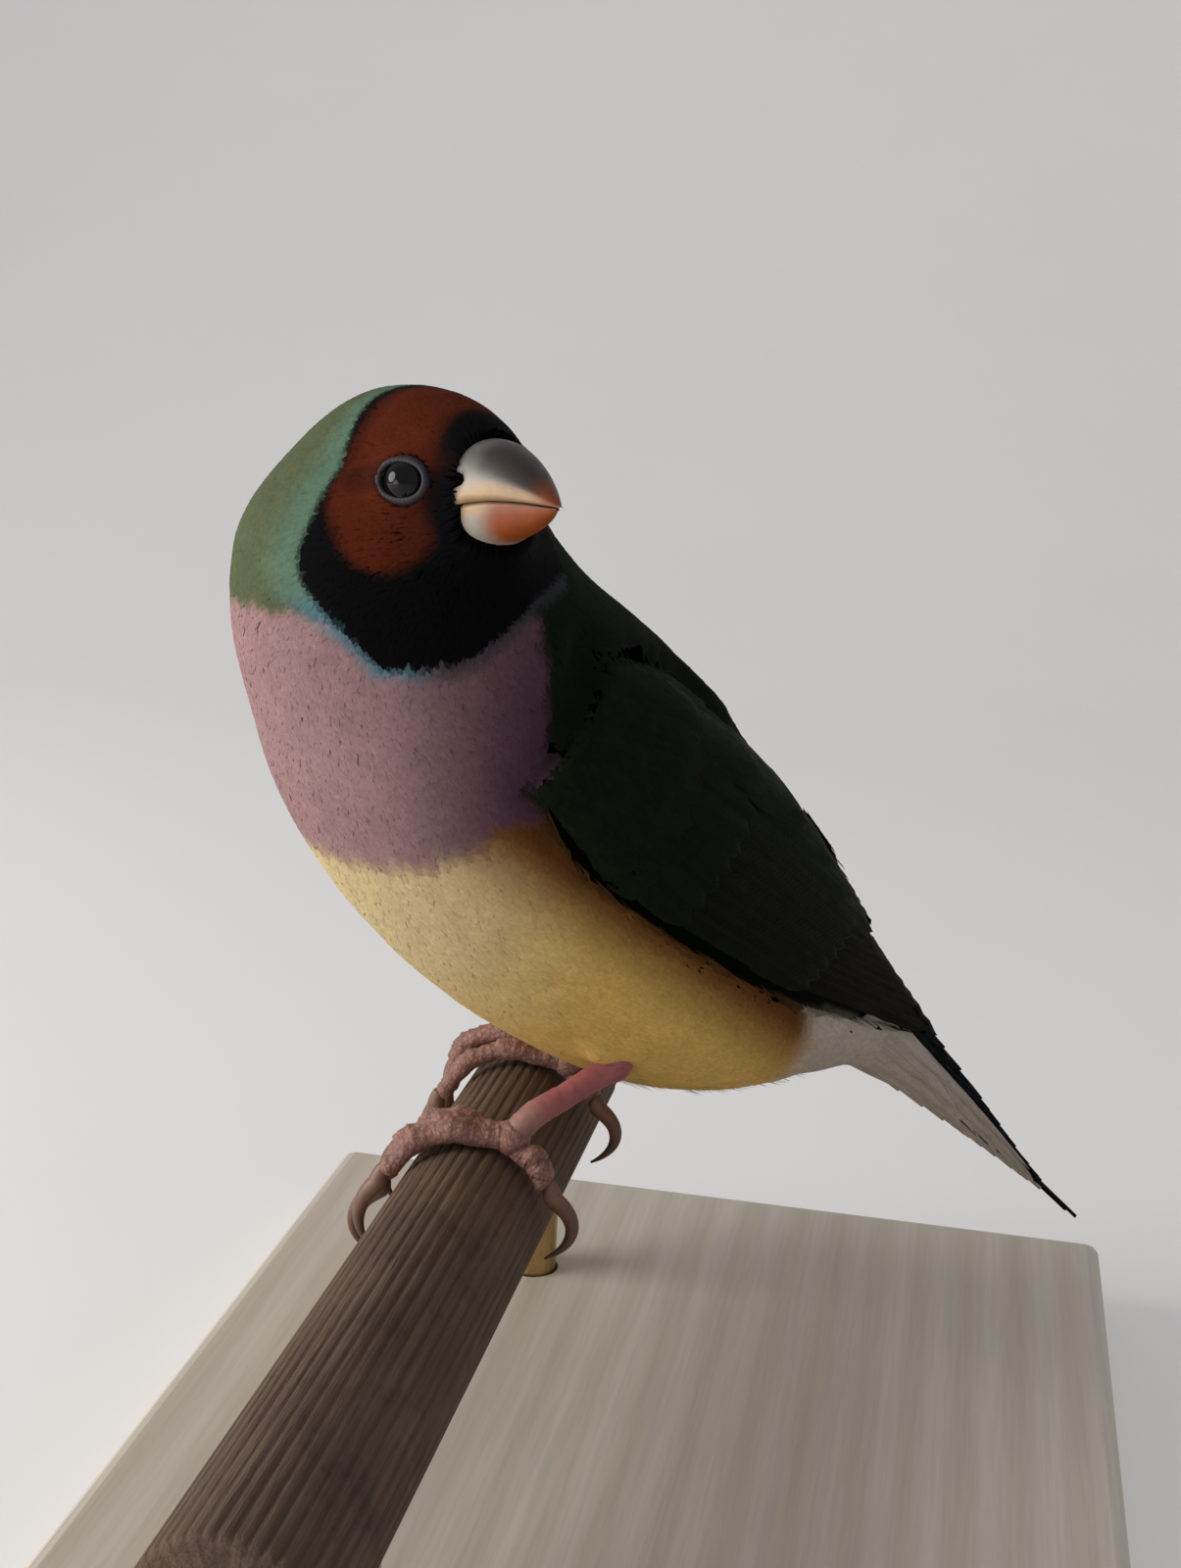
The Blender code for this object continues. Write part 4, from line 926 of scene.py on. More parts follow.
def vane_feather():
    """Firm wing and tail feathers: slanting barbs either side of a shaft."""
    w = Wiring("vane_feather")
    barb = w.stored("Barb", "Vector")
    side, along = w.split(barb)
    across = w.maths("ABSOLUTE", side)
    slant = w.maths("SUBTRACT", w.times(along, 46.0), w.times(across, 4.5))
    wobble = w.grain(barb, (1.5, 9.0, 61.0), 2.0)
    line = w.maths("SINE", w.times(w.maths("ADD", slant, w.times(wobble, 2.4)), 2 * math.pi))
    shaft = w.fade(across, 1.0, 0.0, 0.05, 0.12)
    mottle = w.noise(w.place(), 700.0)
    tinted = w.marking(w.fade(line, 0.84, 1.14, -1.0, 1.0), w.fade(mottle, 0.82, 1.18), w.fade(wobble, 0.85, 1.15))
    w.bump(w.maths("ADD", line, w.times(shaft, 3.0)), 0.28, 0.06 * MM)
    return w.set(
        Base_Color=w.mixed(tinted, (0.010, 0.008, 0.006, 1.0), w.times(shaft, 0.75)),
        Roughness=w.fade(wobble, 0.60, 0.80),
        Specular_IOR_Level=0.05)


def horn(name, roughness, scale):
    """Smooth horn with fine growth streaks and a faint wax gloss."""
    w = Wiring(name)
    streak = w.noise(w.place(), scale, 4.0)
    broad = w.noise(w.place(), scale * 0.22, 2.0)
    w.bump(streak, 0.18, 0.05 * MM)
    return w.set(
        Base_Color=w.marking(w.fade(streak, 0.88, 1.10), w.fade(broad, 0.90, 1.08)),
        Roughness=w.fade(streak, roughness, roughness + 0.14),
        Specular_IOR_Level=0.45,
        Subsurface_Weight=0.12,
        Subsurface_Radius=(1.2 * MM, 0.8 * MM, 0.5 * MM))


def eye_gloss():
    """A wet dark eye, faintly flecked."""
    w = Wiring("eye_gloss")
    flecks = w.noise(w.place(), 2200.0, 4.0)
    return w.set(
        Base_Color=w.marking(w.fade(flecks, 0.7, 1.3)),
        Roughness=w.fade(flecks, 0.03, 0.07, 0.0, 1.0),
        Specular_IOR_Level=0.30)


def scaly_skin():
    """Dry scutes on the legs and toes, with pale flaking edges."""
    w = Wiring("scaly_skin")
    place = w.place()
    cells = w.add("TexVoronoi", feature="DISTANCE_TO_EDGE")
    w.feed(cells.inputs["Vector"], place)
    w.feed(cells.inputs["Scale"], 1700.0)
    edges = w.fade(cells.outputs["Distance"], 0.0, 1.0, 0.0, 0.22)
    mottle = w.noise(place, 900.0, 4.0)
    flakes = w.fade(w.noise(place, 1900.0), 0.0, 1.0, 0.56, 0.70)
    tinted = w.marking(w.fade(edges, 0.72, 1.05, 0.0, 1.0), w.fade(mottle, 0.72, 1.25))
    w.bump(w.maths("ADD", edges, w.times(mottle, 0.8)), 0.45, 0.1 * MM)
    return w.set(
        Base_Color=w.mixed(tinted, (0.34, 0.26, 0.22, 1.0), w.times(flakes, 0.45)),
        Roughness=w.fade(mottle, 0.48, 0.72),
        Specular_IOR_Level=0.35,
        Subsurface_Weight=0.08,
        Subsurface_Radius=(1.0 * MM, 0.5 * MM, 0.4 * MM))


def reeded_wood():
    """Old unvarnished dowel: grain along it, darker in the grooves and lighter on the ridges, and stains."""
    finish = bpy.context.scene.finch_perch
    w = Wiring("reeded_wood")
    place = w.place()
    grain = w.grain(place, (1500.0, 60.0, 1500.0), 5.0, 0.6)
    fine = w.grain(place, (5200.0, 420.0, 5200.0), 3.0, 0.6)
    blotch = w.noise(place, 95.0, 4.0, 0.6)
    stain = w.fade(w.noise(place, 230.0, 5.0, 0.65), 0.0, 1.0, 0.55, 0.72)
    # Darker in the grooves and lighter on the ridges.
    share = w.times(w.fade(grain, 0.1, 1.0, 0.32, 0.66), w.fade(blotch, 0.55, 1.1),
                    w.fade(w.stored("Groove", "Fac"), 0.72, 1.1, 0.0, 1.0))
    wood = w.mixed((*finish.wood_dark, 1.0), (*finish.wood_light, 1.0), share)
    wood = w.mixed(wood, (0.024, 0.017, 0.014, 1.0), w.times(stain, 0.40))
    w.bump(w.maths("ADD", w.times(grain, 1.4), fine), 0.55, 0.22 * MM)
    return w.set(
        Base_Color=w.tinted(wood, w.fade(fine, 0.8, 1.18)),
        Roughness=w.fade(fine, 0.70, 0.92),
        Specular_IOR_Level=0.25)


def oiled_base():
    """Plain oiled hardwood with a long straight grain and small pores."""
    finish = bpy.context.scene.finch_perch
    w = Wiring("oiled_base")
    place = w.place()
    warp = w.grain(place, (40.0, 6.0, 40.0))
    rings = w.add("TexWave", wave_type="BANDS", bands_direction="X")
    for key, given in (("Vector", w.stretched(place, (1.0, 0.06, 1.0))), ("Scale", 62.0), ("Distortion", 3.2),
                       ("Detail", 3.0)):
        w.feed(rings.inputs[key], given)
    pores = w.grain(place, (1800.0, 60.0, 1800.0))
    share = w.times(w.fade(rings.outputs["Fac"], 0.35, 1.0, 0.0, 1.0), w.fade(warp, 0.6, 1.2))
    wood = w.mixed((*finish.base_dark, 1.0), (*finish.base_light, 1.0), share)
    w.bump(pores, 0.12, 0.1 * MM)
    return w.set(
        Base_Color=w.tinted(wood, w.fade(pores, 0.93, 1.03, 0.36, 0.6)),
        Roughness=w.fade(pores, 0.42, 0.58),
        Specular_IOR_Level=0.3)


def satin_brass():
    """Brushed brass, a little tarnished."""
    w = Wiring("satin_brass")
    brushed = w.grain(w.place(), (900.0, 900.0, 9000.0))
    tarnish = w.fade(w.noise(w.place(), 160.0, 4.0), 0.0, 0.5, 0.45, 0.75)
    w.bump(brushed, 0.12, 0.04 * MM)
    return w.set(
        Base_Color=w.mixed((*bpy.context.scene.finch_perch.brass, 1.0), (0.20, 0.13, 0.06, 1.0), tarnish),
        Roughness=w.fade(brushed, 0.24, 0.42),
        Metallic=1.0)


def pale_floor():
    """A plain matt floor that glows a little, so that no shadow on it is hard."""
    w = Wiring("pale_floor")
    cloud = w.fade(w.noise(w.place(), 14.0, 2.0), 0.0, 0.25, 0.0, 1.0)
    pale = w.mixed((*bpy.context.scene.finch_stage.floor, 1.0), (0.66, 0.65, 0.64, 1.0), cloud)
    return w.set(Base_Color=pale, Emission_Color=pale, Roughness=0.9, Specular_IOR_Level=0.05,
                 Emission_Strength=0.22)


# Skin and coat

def make_skin():
    """One skin under the coat in place of the five nodes of flesh."""
    surface = outline_surface()
    depth = coat_depth(surface.points)[:, None]
    head = carried(surface.points - surface.normals * depth, HEAD.inverted())
    past = np.maximum(0, head[:, 0] - BILL_ROOT - 1.8 * MM)
    head[:, 0] -= past
    head[:, 1:] *= np.exp(-past / (2 * MM))[:, None]
    obj = mesh_object("skin", carried(head, HEAD), [surface.triangles])
    paint(obj, "Marking", markings(surface.points))
    on_head = np.linalg.norm(carried(surface.points, HEAD.inverted()), axis=1) < SKIN_HEAD
    head_map = round_unwrap(surface.points, HEAD, (-SKIN_HEAD, SKIN_HEAD)) * (1.0, 0.3) + (0.0, 0.69)
    torso_map = round_unwrap(surface.points, TORSO, TORSO_REACH) * (1.0, 0.66)
    map_points(obj, np.where(on_head[:, None], head_map, torso_map))
    finish_piece(obj, under_feather(), FLESH)


def coat_regions(places):
    """The coat piece that each root belongs to."""
    head = carried(places, HEAD.inverted())
    body = within(places, BODY)
    _, above = torso_place(places)
    _, across = wing_plane(body)
    away = np.linalg.norm(head, axis=1)
    region = np.where(body[:, 2] > 34.0, "breast", "belly").astype("<U12")
    region[(body[:, 0] < 4.0) & (across > -3.0)] = "back"
    region[(above > 8.0) & (body[:, 2] < 50)] = "back"
    region[body[:, 0] < -24.0] = "vent"
    region[(away < 17.5 * MM) & (body[:, 2] > 52.5)] = "nape"
    region[(head[:, 0] > 1.0 * MM) & (away < 15.5 * MM)] = "head"
    left = np.where(np.isin(region, ("head", "nape")), head[:, 1] > 0, body[:, 1] > 0)
    return np.char.add(region, np.where(left, "_left", "_right"))


def headness(points):
    """1 on the head, falling to 0 down the neck."""
    away = np.linalg.norm(carried(points, HEAD.inverted()), axis=1)
    return 1 - soft_step((away - HEAD_COAT) / NECK_FADE)


def coat_sizes(places, sizes, chance):
    """The lengths and widths of the feathers, smallest next to the bill and the eyes."""
    share = headness(places)
    head = within(places, HEAD)
    near_bill = soft_step((head[:, 0] - 5.0) / 7.0) * share
    near_eye = bell(np.linalg.norm(np.abs(head) - (8.6, 6.6, 2.0), axis=1) / 3.2) * share
    small = 1 - 0.45 * np.maximum(near_bill, near_eye)
    return [between(body, head, share) * small * chance.uniform(0.8, 1.2, len(places))
            for body, head in ((sizes.body_length, sizes.head_length), (sizes.body_width, sizes.head_width))]


def coat_aims(places, normals, chance):
    """The lie of the coat, with each feather turned a little and the whole wandering slowly."""
    aims = lie_of_coat(places, normals)
    wander = 0.10 * np.sin(carried(places, BODY.inverted()) @ np.array([900.0, 1300.0, 700.0]))
    swing = chance.normal(0, 0.07, len(places)) + wander
    return unit(aims + np.cross(normals, aims) * swing[:, None])


def clear_tufts(points, shading):
    """True for each tuft that lies open and shows over neither a wing nor an eye."""
    shown = points[:, TUFT_SHOWN]
    body = within(shown.mean(axis=1), BODY)
    along, across = wing_plane(body)
    low = np.interp(along, WING_STATIONS, WING_LOWER_EDGE) + WING_MARGINS[0]
    high = np.interp(along, WING_STATIONS, WING_UPPER_EDGE) + WING_MARGINS[1]
    on_wing = (along > WING_KEPT[0]) & (along < WING_KEPT[1]) & (across > low) & (across < high)
    clear = ~(on_wing & (np.abs(body[:, 1]) > WING_SIDE)) & lies_open(points, shading)
    for side, sign in SIDES:
        over_eye = within(shown.reshape(-1, 3), eye_place(side, sign)).reshape(shown.shape)
        ahead, up, out = over_eye.transpose(2, 0, 1)
        close = np.hypot(ahead * 0.93, up * 1.07).min(axis=1) < LID_CLEARING
        clear &= ~(close & (out.max(axis=1) > 0))
    return clear


def make_coat():
    """All body and head feathers, in one piece for each region and side."""
    sizes = bpy.context.scene.finch_coat
    chance = np.random.default_rng(sizes.seed)
    drape = drape_surface()
    places = scattered(drape, lambda points: between(sizes.body_spacing, sizes.head_spacing, headness(points)),
                       chance, sizes.head_spacing)
    spots, normals = drape.nearest(places)
    kept = ~bare_places(spots)
    places, normals = spots[kept], normals[kept]
    lengths, widths = coat_sizes(places, sizes, chance)
    aims = coat_aims(places, normals, chance)
    depths = coat_depth(places) + 0.12 * MM
    tips = chance.uniform(-0.03, 0.05, len(places)) * MM * (1 - 0.5 * headness(places))
    points, shading = lay_tufts(places, aims, lengths, widths, depths, tips, drape)
    clear = clear_tufts(points, shading)
    places, points, shading = places[clear], points[clear], shading[clear]
    shown = points[:, TUFT_SHOWN].mean(axis=1)
    colours = markings(shown) * (1 + chance.normal(0, 0.035, (len(places), 1)))
    seeds = chance.random(len(places))
    make_wisps(outline_surface(), chance)
    regions = coat_regions(places)
    for region in sorted(set(regions.tolist())):
        mine = regions == region
        part = region.split("_")[0]
        on_head = part in ("head", "nape")
        unwrap = round_unwrap(places[mine], HEAD if on_head else TORSO, HEAD_REACH if on_head else TORSO_REACH)
        tuft_object("coat_" + region, points[mine], shading[mine], colours[mine], unwrap, seeds[mine])


def make_wisps(outline, chance):
    """A few long loose barbs that stand off the lower edge of the belly."""
    at = chance.uniform((-30.0, -9.0, 4.0), (-4.0, 9.0, 14.0), (1500, 3)) * MM
    spots, normals = outline.nearest(carried(at, BODY))
    faces_down = turned(normals, BODY.inverted())[:, 2] < -0.45
    kept = faces_down & (np.abs(within(spots, BODY)[:, 0] + 17.0) < 12.0)
    spots, normals = spots[kept][:WISP_COUNT], normals[kept][:WISP_COUNT]
    count = len(spots)
    aims = unit(lie_of_coat(spots, normals) + normals * chance.uniform(0.0, 0.25, (count, 1)))
    lengths = chance.uniform(3.5, 6.0, count) * MM
    tips = chance.uniform(0.1, 0.7, count) * MM
    points, shading = lay_tufts(spots, aims, lengths, np.full(count, 0.14 * MM), np.full(count, 1.0 * MM), tips,
                                outline)
    pale = over(markings(points[:, TUFT_SHOWN].mean(axis=1)), WISP_CREAM, np.full(count, 0.55))
    tuft_object("belly_wisps", points, shading, pale, round_unwrap(spots, TORSO, TORSO_REACH),
                chance.random(count))


# Wings and tail

VANE_THICKNESS = 0.11
VANE_CURL = 0.24
SHAFT_RISE = 0.10
TAIL_STATIONS = (-4.0, 0.0, 3.0, 6.0, 9.0, 12.0, 18.0, 24.0, 30.0, 39.0)
TAIL_HALF_WIDTHS = (9.4, 7.6, 6.5, 6.1, 5.9, 5.9, 6.0, 5.4, 4.2, 1.5)
TAIL_SEAM = (1.7, 1.6, 1.5, 1.3, 1.15, 1.0, 0.65, 0.35, 0.1, 0.0)
TAIL_TOP = (6.4, 5.7, 5.5, 4.6, 4.0, 3.6, 2.7, 1.7, 0.9, 0.3)
TAIL_BOTTOM = (-13.5, -10.4, -6.3, -5.2, -4.4, -3.5, -2.7, -1.9, -1.25, -0.4)
COVERT_TURN = 1.45
WING_SEED = 21
TAIL_SEED = 5


def wing_sheet():
    """The middles and radii of the balls that the folded wing is drawn over, in the body's frame."""
    count = 60
    rows = smooth_through(np.linspace(0, len(WING_BALLS) - 1, count), np.arange(len(WING_BALLS)), WING_BALLS) * MM
    return np.stack([rows[:, 0], np.zeros(count), rows[:, 1]], axis=1), rows[:, 2]


def wing_place(side):
    """Lays points of the wing's plane, in mm, at a depth under the sheet that the folded wing follows."""
    centres, radii = wing_sheet()

    def place(along, across, depth):
        along, across, depth = along * MM, across * MM, depth * MM
        forward = WRIST[0] - along * math.cos(WING_SLOPE) - across * math.sin(WING_SLOPE)
        up = WRIST[1] - along * math.sin(WING_SLOPE) + across * math.cos(WING_SLOPE)
        room = ((radii - depth[..., None]) ** 2 - (forward[..., None] - centres[:, 0]) ** 2
                - (up[..., None] - centres[:, 2]) ** 2)
        out = np.sqrt(np.maximum(room.max(axis=-1), (0.6 * MM) ** 2))
        return carried(np.stack([forward, side * out, up], axis=-1), BODY)
    return place


def tail_place(along, across, depth):
    """Lays points of the tail's plane, in mm, on its shallow ridge."""
    local = np.stack([along, across, -np.abs(across) * 0.18 - depth], axis=-1) * MM
    return carried(local, TAIL)


def leaf_shape(t, point):
    """Half the width of a feather along its length, with a round end or, at point 1, a sharp one."""
    round_end = np.sqrt(np.maximum(0, 1 - (np.maximum(0, t - 0.72) / (1 - 0.72)) ** 2))
    sharp_end = 1 - np.maximum(0, (t - 0.45) / 0.55) ** 0.8
    return np.minimum(1, 0.45 + 1.8 * t) * (round_end * (1 - point) + sharp_end * point)


def vane(place, root, tip, width, depths, point, chance, shaft=0.0, rows=22, columns=9):
    """One closed firm feather: its points, faces, and (across, along) for each point."""
    root, tip = np.array(root, float), np.array(tip, float)
    aim = (tip - root) / np.linalg.norm(tip - root)
    across = np.array([-aim[1], aim[0]])
    t = np.linspace(0, 1, rows) ** 0.85
    v = np.linspace(-1, 1, columns)
    v = np.sign(v) * np.abs(v) ** 1.15
    half = np.maximum(width / 2 * leaf_shape(t, point), 0.06)
    ragged = 1 + 0.05 * chance.normal(0, 1, (rows, 2)) * soft_step((t - 0.35) / 0.3)[:, None]
    left, right = half * ragged[:, 0] * (1 - shaft), half * ragged[:, 1] * (1 + shaft)
    offset = np.where(v[None] < 0, v[None] * left[:, None], v[None] * right[:, None])
    middle = root + (tip - root) * t[:, None] + across * (0.25 * np.sin(math.pi * t))[:, None]
    flat = middle[:, None] + across * offset[..., None]
    depth = between(*depths, t[:, None]) + VANE_CURL * v[None] ** 2
    depth = depth - SHAFT_RISE * bell(v[None] / 0.10) * (1 - 0.6 * t[:, None])
    top = place(flat[..., 0], flat[..., 1], depth)
    under = place(flat[..., 0], flat[..., 1], depth + VANE_THICKNESS)
    points = np.concatenate([top.reshape(-1, 3), under.reshape(-1, 3)])
    size = rows * columns
    faces = grid_faces(rows, columns)
    rim = np.concatenate([np.arange(columns), np.arange(2, rows + 1) * columns - 1,
                          size - 2 - np.arange(columns - 1), np.arange(rows - 2, 0, -1) * columns])
    follow = np.roll(rim, -1)
    sides = np.stack([rim, follow, follow + size, rim + size], axis=1)
    marks = np.column_stack([np.tile(v, rows), np.repeat(t, columns)])
    return points, [faces, faces[:, ::-1] + size, sides[:, ::-1]], np.tile(marks, (2, 1))


def wing_vanes():
    """Feathers of the folded wing from the lowest up: (kind, root, tip, width, depths, point, shaft)."""
    vanes = []
    for t in np.arange(9) / 8:
        vanes.append(("primary", (20.0, -4.6 + 5.6 * t), (60.6 - 18.1 * t ** 0.9, 0.4 + 3.4 * t ** 0.8), 4.6,
                      (1.25 - 0.2 * t, 0.95 - 0.45 * t), 0.45, 0.35))
    for t in np.arange(7) / 6:
        vanes.append(("secondary", (11.0, -4.6 + 8.4 * t), (36.0 + 3.5 * t, -3.6 + 7.6 * t), 4.4,
                      (1.05, 0.45 - 0.1 * t), 0.0, 0.3))
    for k in range(4):
        vanes.append(("tertial", (13.0, 5.0 + 1.4 * k), (43.0 - 4.6 * k, 4.6 + 1.5 * k), 5.4,
                      (0.95, 0.32 - 0.08 * k), 0.3, 0.1))
    for t in np.arange(9) / 8:
        vanes.append(("greater", (3.0 + 2.0 * t, -3.6 + 11.9 * t), (18.5 + 3.0 * t, -5.0 + 15.0 * t), 3.6,
                      (0.9, 0.2), 0.0, 0.1))
    for t in np.arange(9) / 8:
        vanes.append(("median", (-0.6 + 1.5 * t, -2.4 + 11.0 * t), (9.8 + 2.4 * t, -4.0 + 14.4 * t), 3.0,
                      (0.75, 0.1), 0.0, 0.0))
    return vanes


def vane_colours(kind, marks, hues, twist):
    """Body and edge colours of one firm wing feather."""
    across, along = marks.T
    green, brown = np.array(hues.mantle_green), np.array(hues.flight_brown)
    base, pale = {
        "primary": (brown, brown * 2.2),
        "secondary": (brown * 0.7 + green * 0.5, green * 1.5),
        "tertial": (green * 0.9, brown * 3.2),
        "greater": (green * 0.95, green * 1.5),
        "median": (green, green * 1.5),
    }[kind]
    edge = soft_step((-across - 0.62) / 0.3) if kind == "primary" else soft_step((np.abs(across) - 0.66) / 0.3)
    return over(base * twist, pale, 0.5 * edge * soft_step((along - 0.15) / 0.3))


def vane_object(name, built, finish, replaced=()):
    """Joins vanes into one mesh, with its own cell of the map for each."""
    start, points, quads, notes, colours, uv = 0, [], [], [], [], []
    side = math.ceil(math.sqrt(len(built)))
    for k, (spots, faces, marks, shade, seed) in enumerate(built):
        points.append(spots)
        quads += [f + start for f in faces]
        start += len(spots)
        notes.append(np.column_stack([marks, np.full(len(marks), seed)]))
        colours.append(shade)
        cell = np.column_stack([0.25 + 0.2 * marks[:, 0], marks[:, 1] * 0.9 + 0.05])
        cell[len(marks) // 2:, 0] += 0.5
        uv.append((cell + (k % side, k // side)) / side)
    obj = mesh_object(name, np.concatenate(points), quads)
    paint(obj, "Marking", np.concatenate(colours))
    note(obj, "Barb", np.concatenate(notes))
    map_points(obj, np.concatenate(uv))
    finish_piece(obj, made_once(finish), replaced)


def make_wings():
    """The firm feathers of both folded wings, and the small ones over their bends."""
    hues = bpy.context.scene.finch_plumage
    for name, side in SIDES:
        chance = np.random.default_rng(WING_SEED)
        place = wing_place(side)
        built = []
        for kind, root, tip, width, depths, point, shaft in wing_vanes():
            spots, faces, marks = vane(place, root, tip, width, depths, point, chance, shaft)
            shade = vane_colours(kind, marks, hues, chance.uniform(0.85, 1.15))
            built.append((spots, faces if side > 0 else flipped(faces), marks, shade, chance.random()))
        vane_object("wing_feathers_" + name, built, vane_feather, ("wing_" + name,))
        make_lesser_coverts(name, side, chance)


def make_lesser_coverts(name, side, chance):
    """Small round feathers over the wing's bend, and longer ones where the wing meets the back."""
    place = wing_place(side)
    across, along = (grid.ravel() for grid in np.meshgrid(np.arange(-6.0, 17.0, 0.5), np.arange(-8.0, 22.0, 0.5)))
    along = along + chance.normal(0, 0.16, len(along))
    across = across + chance.normal(0, 0.16, len(across))
    low = np.interp(np.maximum(along, 0), WING_STATIONS, WING_LOWER_EDGE)
    high = np.interp(np.maximum(along, 0), WING_STATIONS, WING_UPPER_EDGE)
    kept = (across > low + 0.6) & (along < 9.0)
    kept |= (across > high - 3.0 - 0.10 * along) & (across < high + 2.0)
    along, across = along[kept], across[kept]
    roots = place(along, across, np.full(len(along), 0.3))
    wing = nodes_tree("wing_" + name)
    near = np.array([wing.find_nearest(root, 1.5 * MM)[0] is not None for root in roots.tolist()])
    along, across, roots = along[near], across[near], roots[near]
    count = len(along)
    ahead = place(along + 1.0, across + 0.12, np.full(count, 0.3))
    behind_bend = np.clip(along + 4, 0, 22)
    lengths = (1.9 + 0.20 * behind_bend) * MM * chance.uniform(0.85, 1.15, count)
    widths = (1.0 + 0.05 * behind_bend) * MM * chance.uniform(0.85, 1.15, count)
    tips = chance.uniform(-0.05, 0.10, count) * MM
    points, shading = lay_tufts(roots, unit(ahead - roots), lengths, widths, np.full(count, 0.4 * MM), tips,
                                drape_surface())
    colours = np.array(bpy.context.scene.finch_plumage.mantle_green) * chance.uniform(0.85, 1.2, (count, 1))
    unwrap = np.column_stack([0.02 + 0.95 * (along + 9) / 33, 0.02 + 0.95 * (across + 8) / 28])
    tuft_object("shoulder_feathers_" + name, points, shading, colours, unwrap, chance.random(count))


def make_tail():
    """The tail feathers in pairs, the two long middle ones on top, and the coverts over and under them."""
    hues = bpy.context.scene.finch_plumage
    chance = np.random.default_rng(TAIL_SEED)
    built = []
    for pair, reach in reversed(list(enumerate(TAIL_PAIRS))):
        width, point = (3.2, 1.0) if pair == 0 else (3.5, 0.35)
        for side in (1, -1):
            spread = math.radians(0.5 + 0.8 * pair) * side
            root = (1.0, side * (0.5 + 0.12 * pair))
            tip = (reach * math.cos(spread), root[1] + reach * math.sin(spread))
            depths = (-0.55 + 0.16 * pair + 0.05 * side, -0.45 + 0.18 * pair + 0.05 * side)
            spots, faces, marks = vane(tail_place, root, tip, width, depths, point, chance, rows=30)
            shade = np.tile(np.array(hues.tail_black), (len(marks), 1)) * chance.uniform(0.85, 1.2)
            edge = soft_step((marks[:, 0] * side - 0.6) / 0.3) * soft_step((0.8 - marks[:, 1]) / 0.3)
            shade = over(shade, hues.rump_blue, 0.65 * edge)
            built.append((spots, flipped(faces), marks, shade, chance.random()))
    vane_object("tail_feathers", built, vane_feather, ("tail",))

    built = covert_rows(TAIL_BOTTOM, (23.0, 19.5, 16.0, 12.5, 9.0, 5.5, 2.0, -1.5), (15.5, 0.5), (38.6, 1.6), 2.7,
                        hues.vent_white, 0.05, chance)
    vane_object("undertail_coverts", built, soft_feather)
    built = covert_rows(TAIL_TOP, (24.0, 21.0, 18.0, 14.0, 10.0, 6.0, 2.0, -2.0), (14.0, 0.4), (38.0, 0.7), 2.8,
                        hues.rump_blue, 0.15, chance)
    vane_object("uppertail_coverts", built, vane_feather)


def round_tail(reach):
    """Lays points, in mm, round the upper or lower half of the tail's root, which stands off by reach along it.

    The turn runs from the middle, 4 mm to a radian, to the widest side.
    """
    def place(along, turn, depth):
        half = np.interp(along, TAIL_STATIONS, TAIL_HALF_WIDTHS)
        seam = np.interp(along, TAIL_STATIONS, TAIL_SEAM)
        drop = np.interp(along, TAIL_STATIONS, reach) - seam
        angle = np.clip(turn / 4.0, -math.pi / 2, math.pi / 2)
        across = (half - depth) * np.sin(angle)
        up = seam + (drop - depth * np.sign(reach[0])) * np.cos(angle)
        return carried(np.stack([along, across, up], axis=-1) * MM, TAIL)
    return place


def covert_rows(reach, roots, length_spread, end_step, width, tint, spread, chance):
    """Long soft feathers in rows over or under the tail's root, from the last row to the first."""
    place = round_tail(reach)
    built = []
    for root in roots:
        for k in chance.permutation(9) - 4:
            turn = COVERT_TURN * k
            end = min(root + length_spread[0] + chance.normal(0, length_spread[1]),
                      end_step[0] - end_step[1] * abs(k))
            spots, faces, marks = vane(place, (root, turn), (end, turn * 0.96), width, (0.9, 0.08), 0.8, chance,
                                       rows=16, columns=7)
            shade = np.tile(np.array(tint), (len(marks), 1)) * chance.uniform(1 - spread, 1 + spread)
            built.append((spots, flipped(faces) if reach is TAIL_TOP else faces, marks, shade, chance.random()))
    return built


# Bill, eyes and legs

BILL_ROWS = 46
BILL_ARCH = 33
BILL_FLOOR = 7
NOSTRIL = (0.9, 1.5)
# The nostril is drawn darker: painted shade in its hollow.
NOSTRIL_SHADE = (0.03, 0.022, 0.018)
EYE_ROWS = 34
EYE_RING = 48
PUPIL_BLACK = (0.0015, 0.0015, 0.0018)
EYE_RIM = (0.01, 0.008, 0.007)
LID_TURNS = 96
LID_SIDES = 14
LID_MIDDLE = 1.84
LID_HEIGHT = 1.26
TOE_KNOTS = 12
TOE_STEPS, TOE_SIDES = 84, 28
CLAW_STEPS, CLAW_SIDES = 34, 18
BALL_STEPS, BALL_SIDES = 24, 26
TARSUS_STEPS, TARSUS_SIDES = 90, 24
TARSUS_RADII = (1.1, 1.25, 1.12, 1.28, 1.5, 1.35, 1.4)


def nostril(x, high, reach):
    """1 at the nostril, in mm from the bill's root and above the head's middle, falling away over its reach."""
    return np.exp(-((x - NOSTRIL[0]) / 0.42) ** 2 - ((high - NOSTRIL[1]) / reach) ** 2)


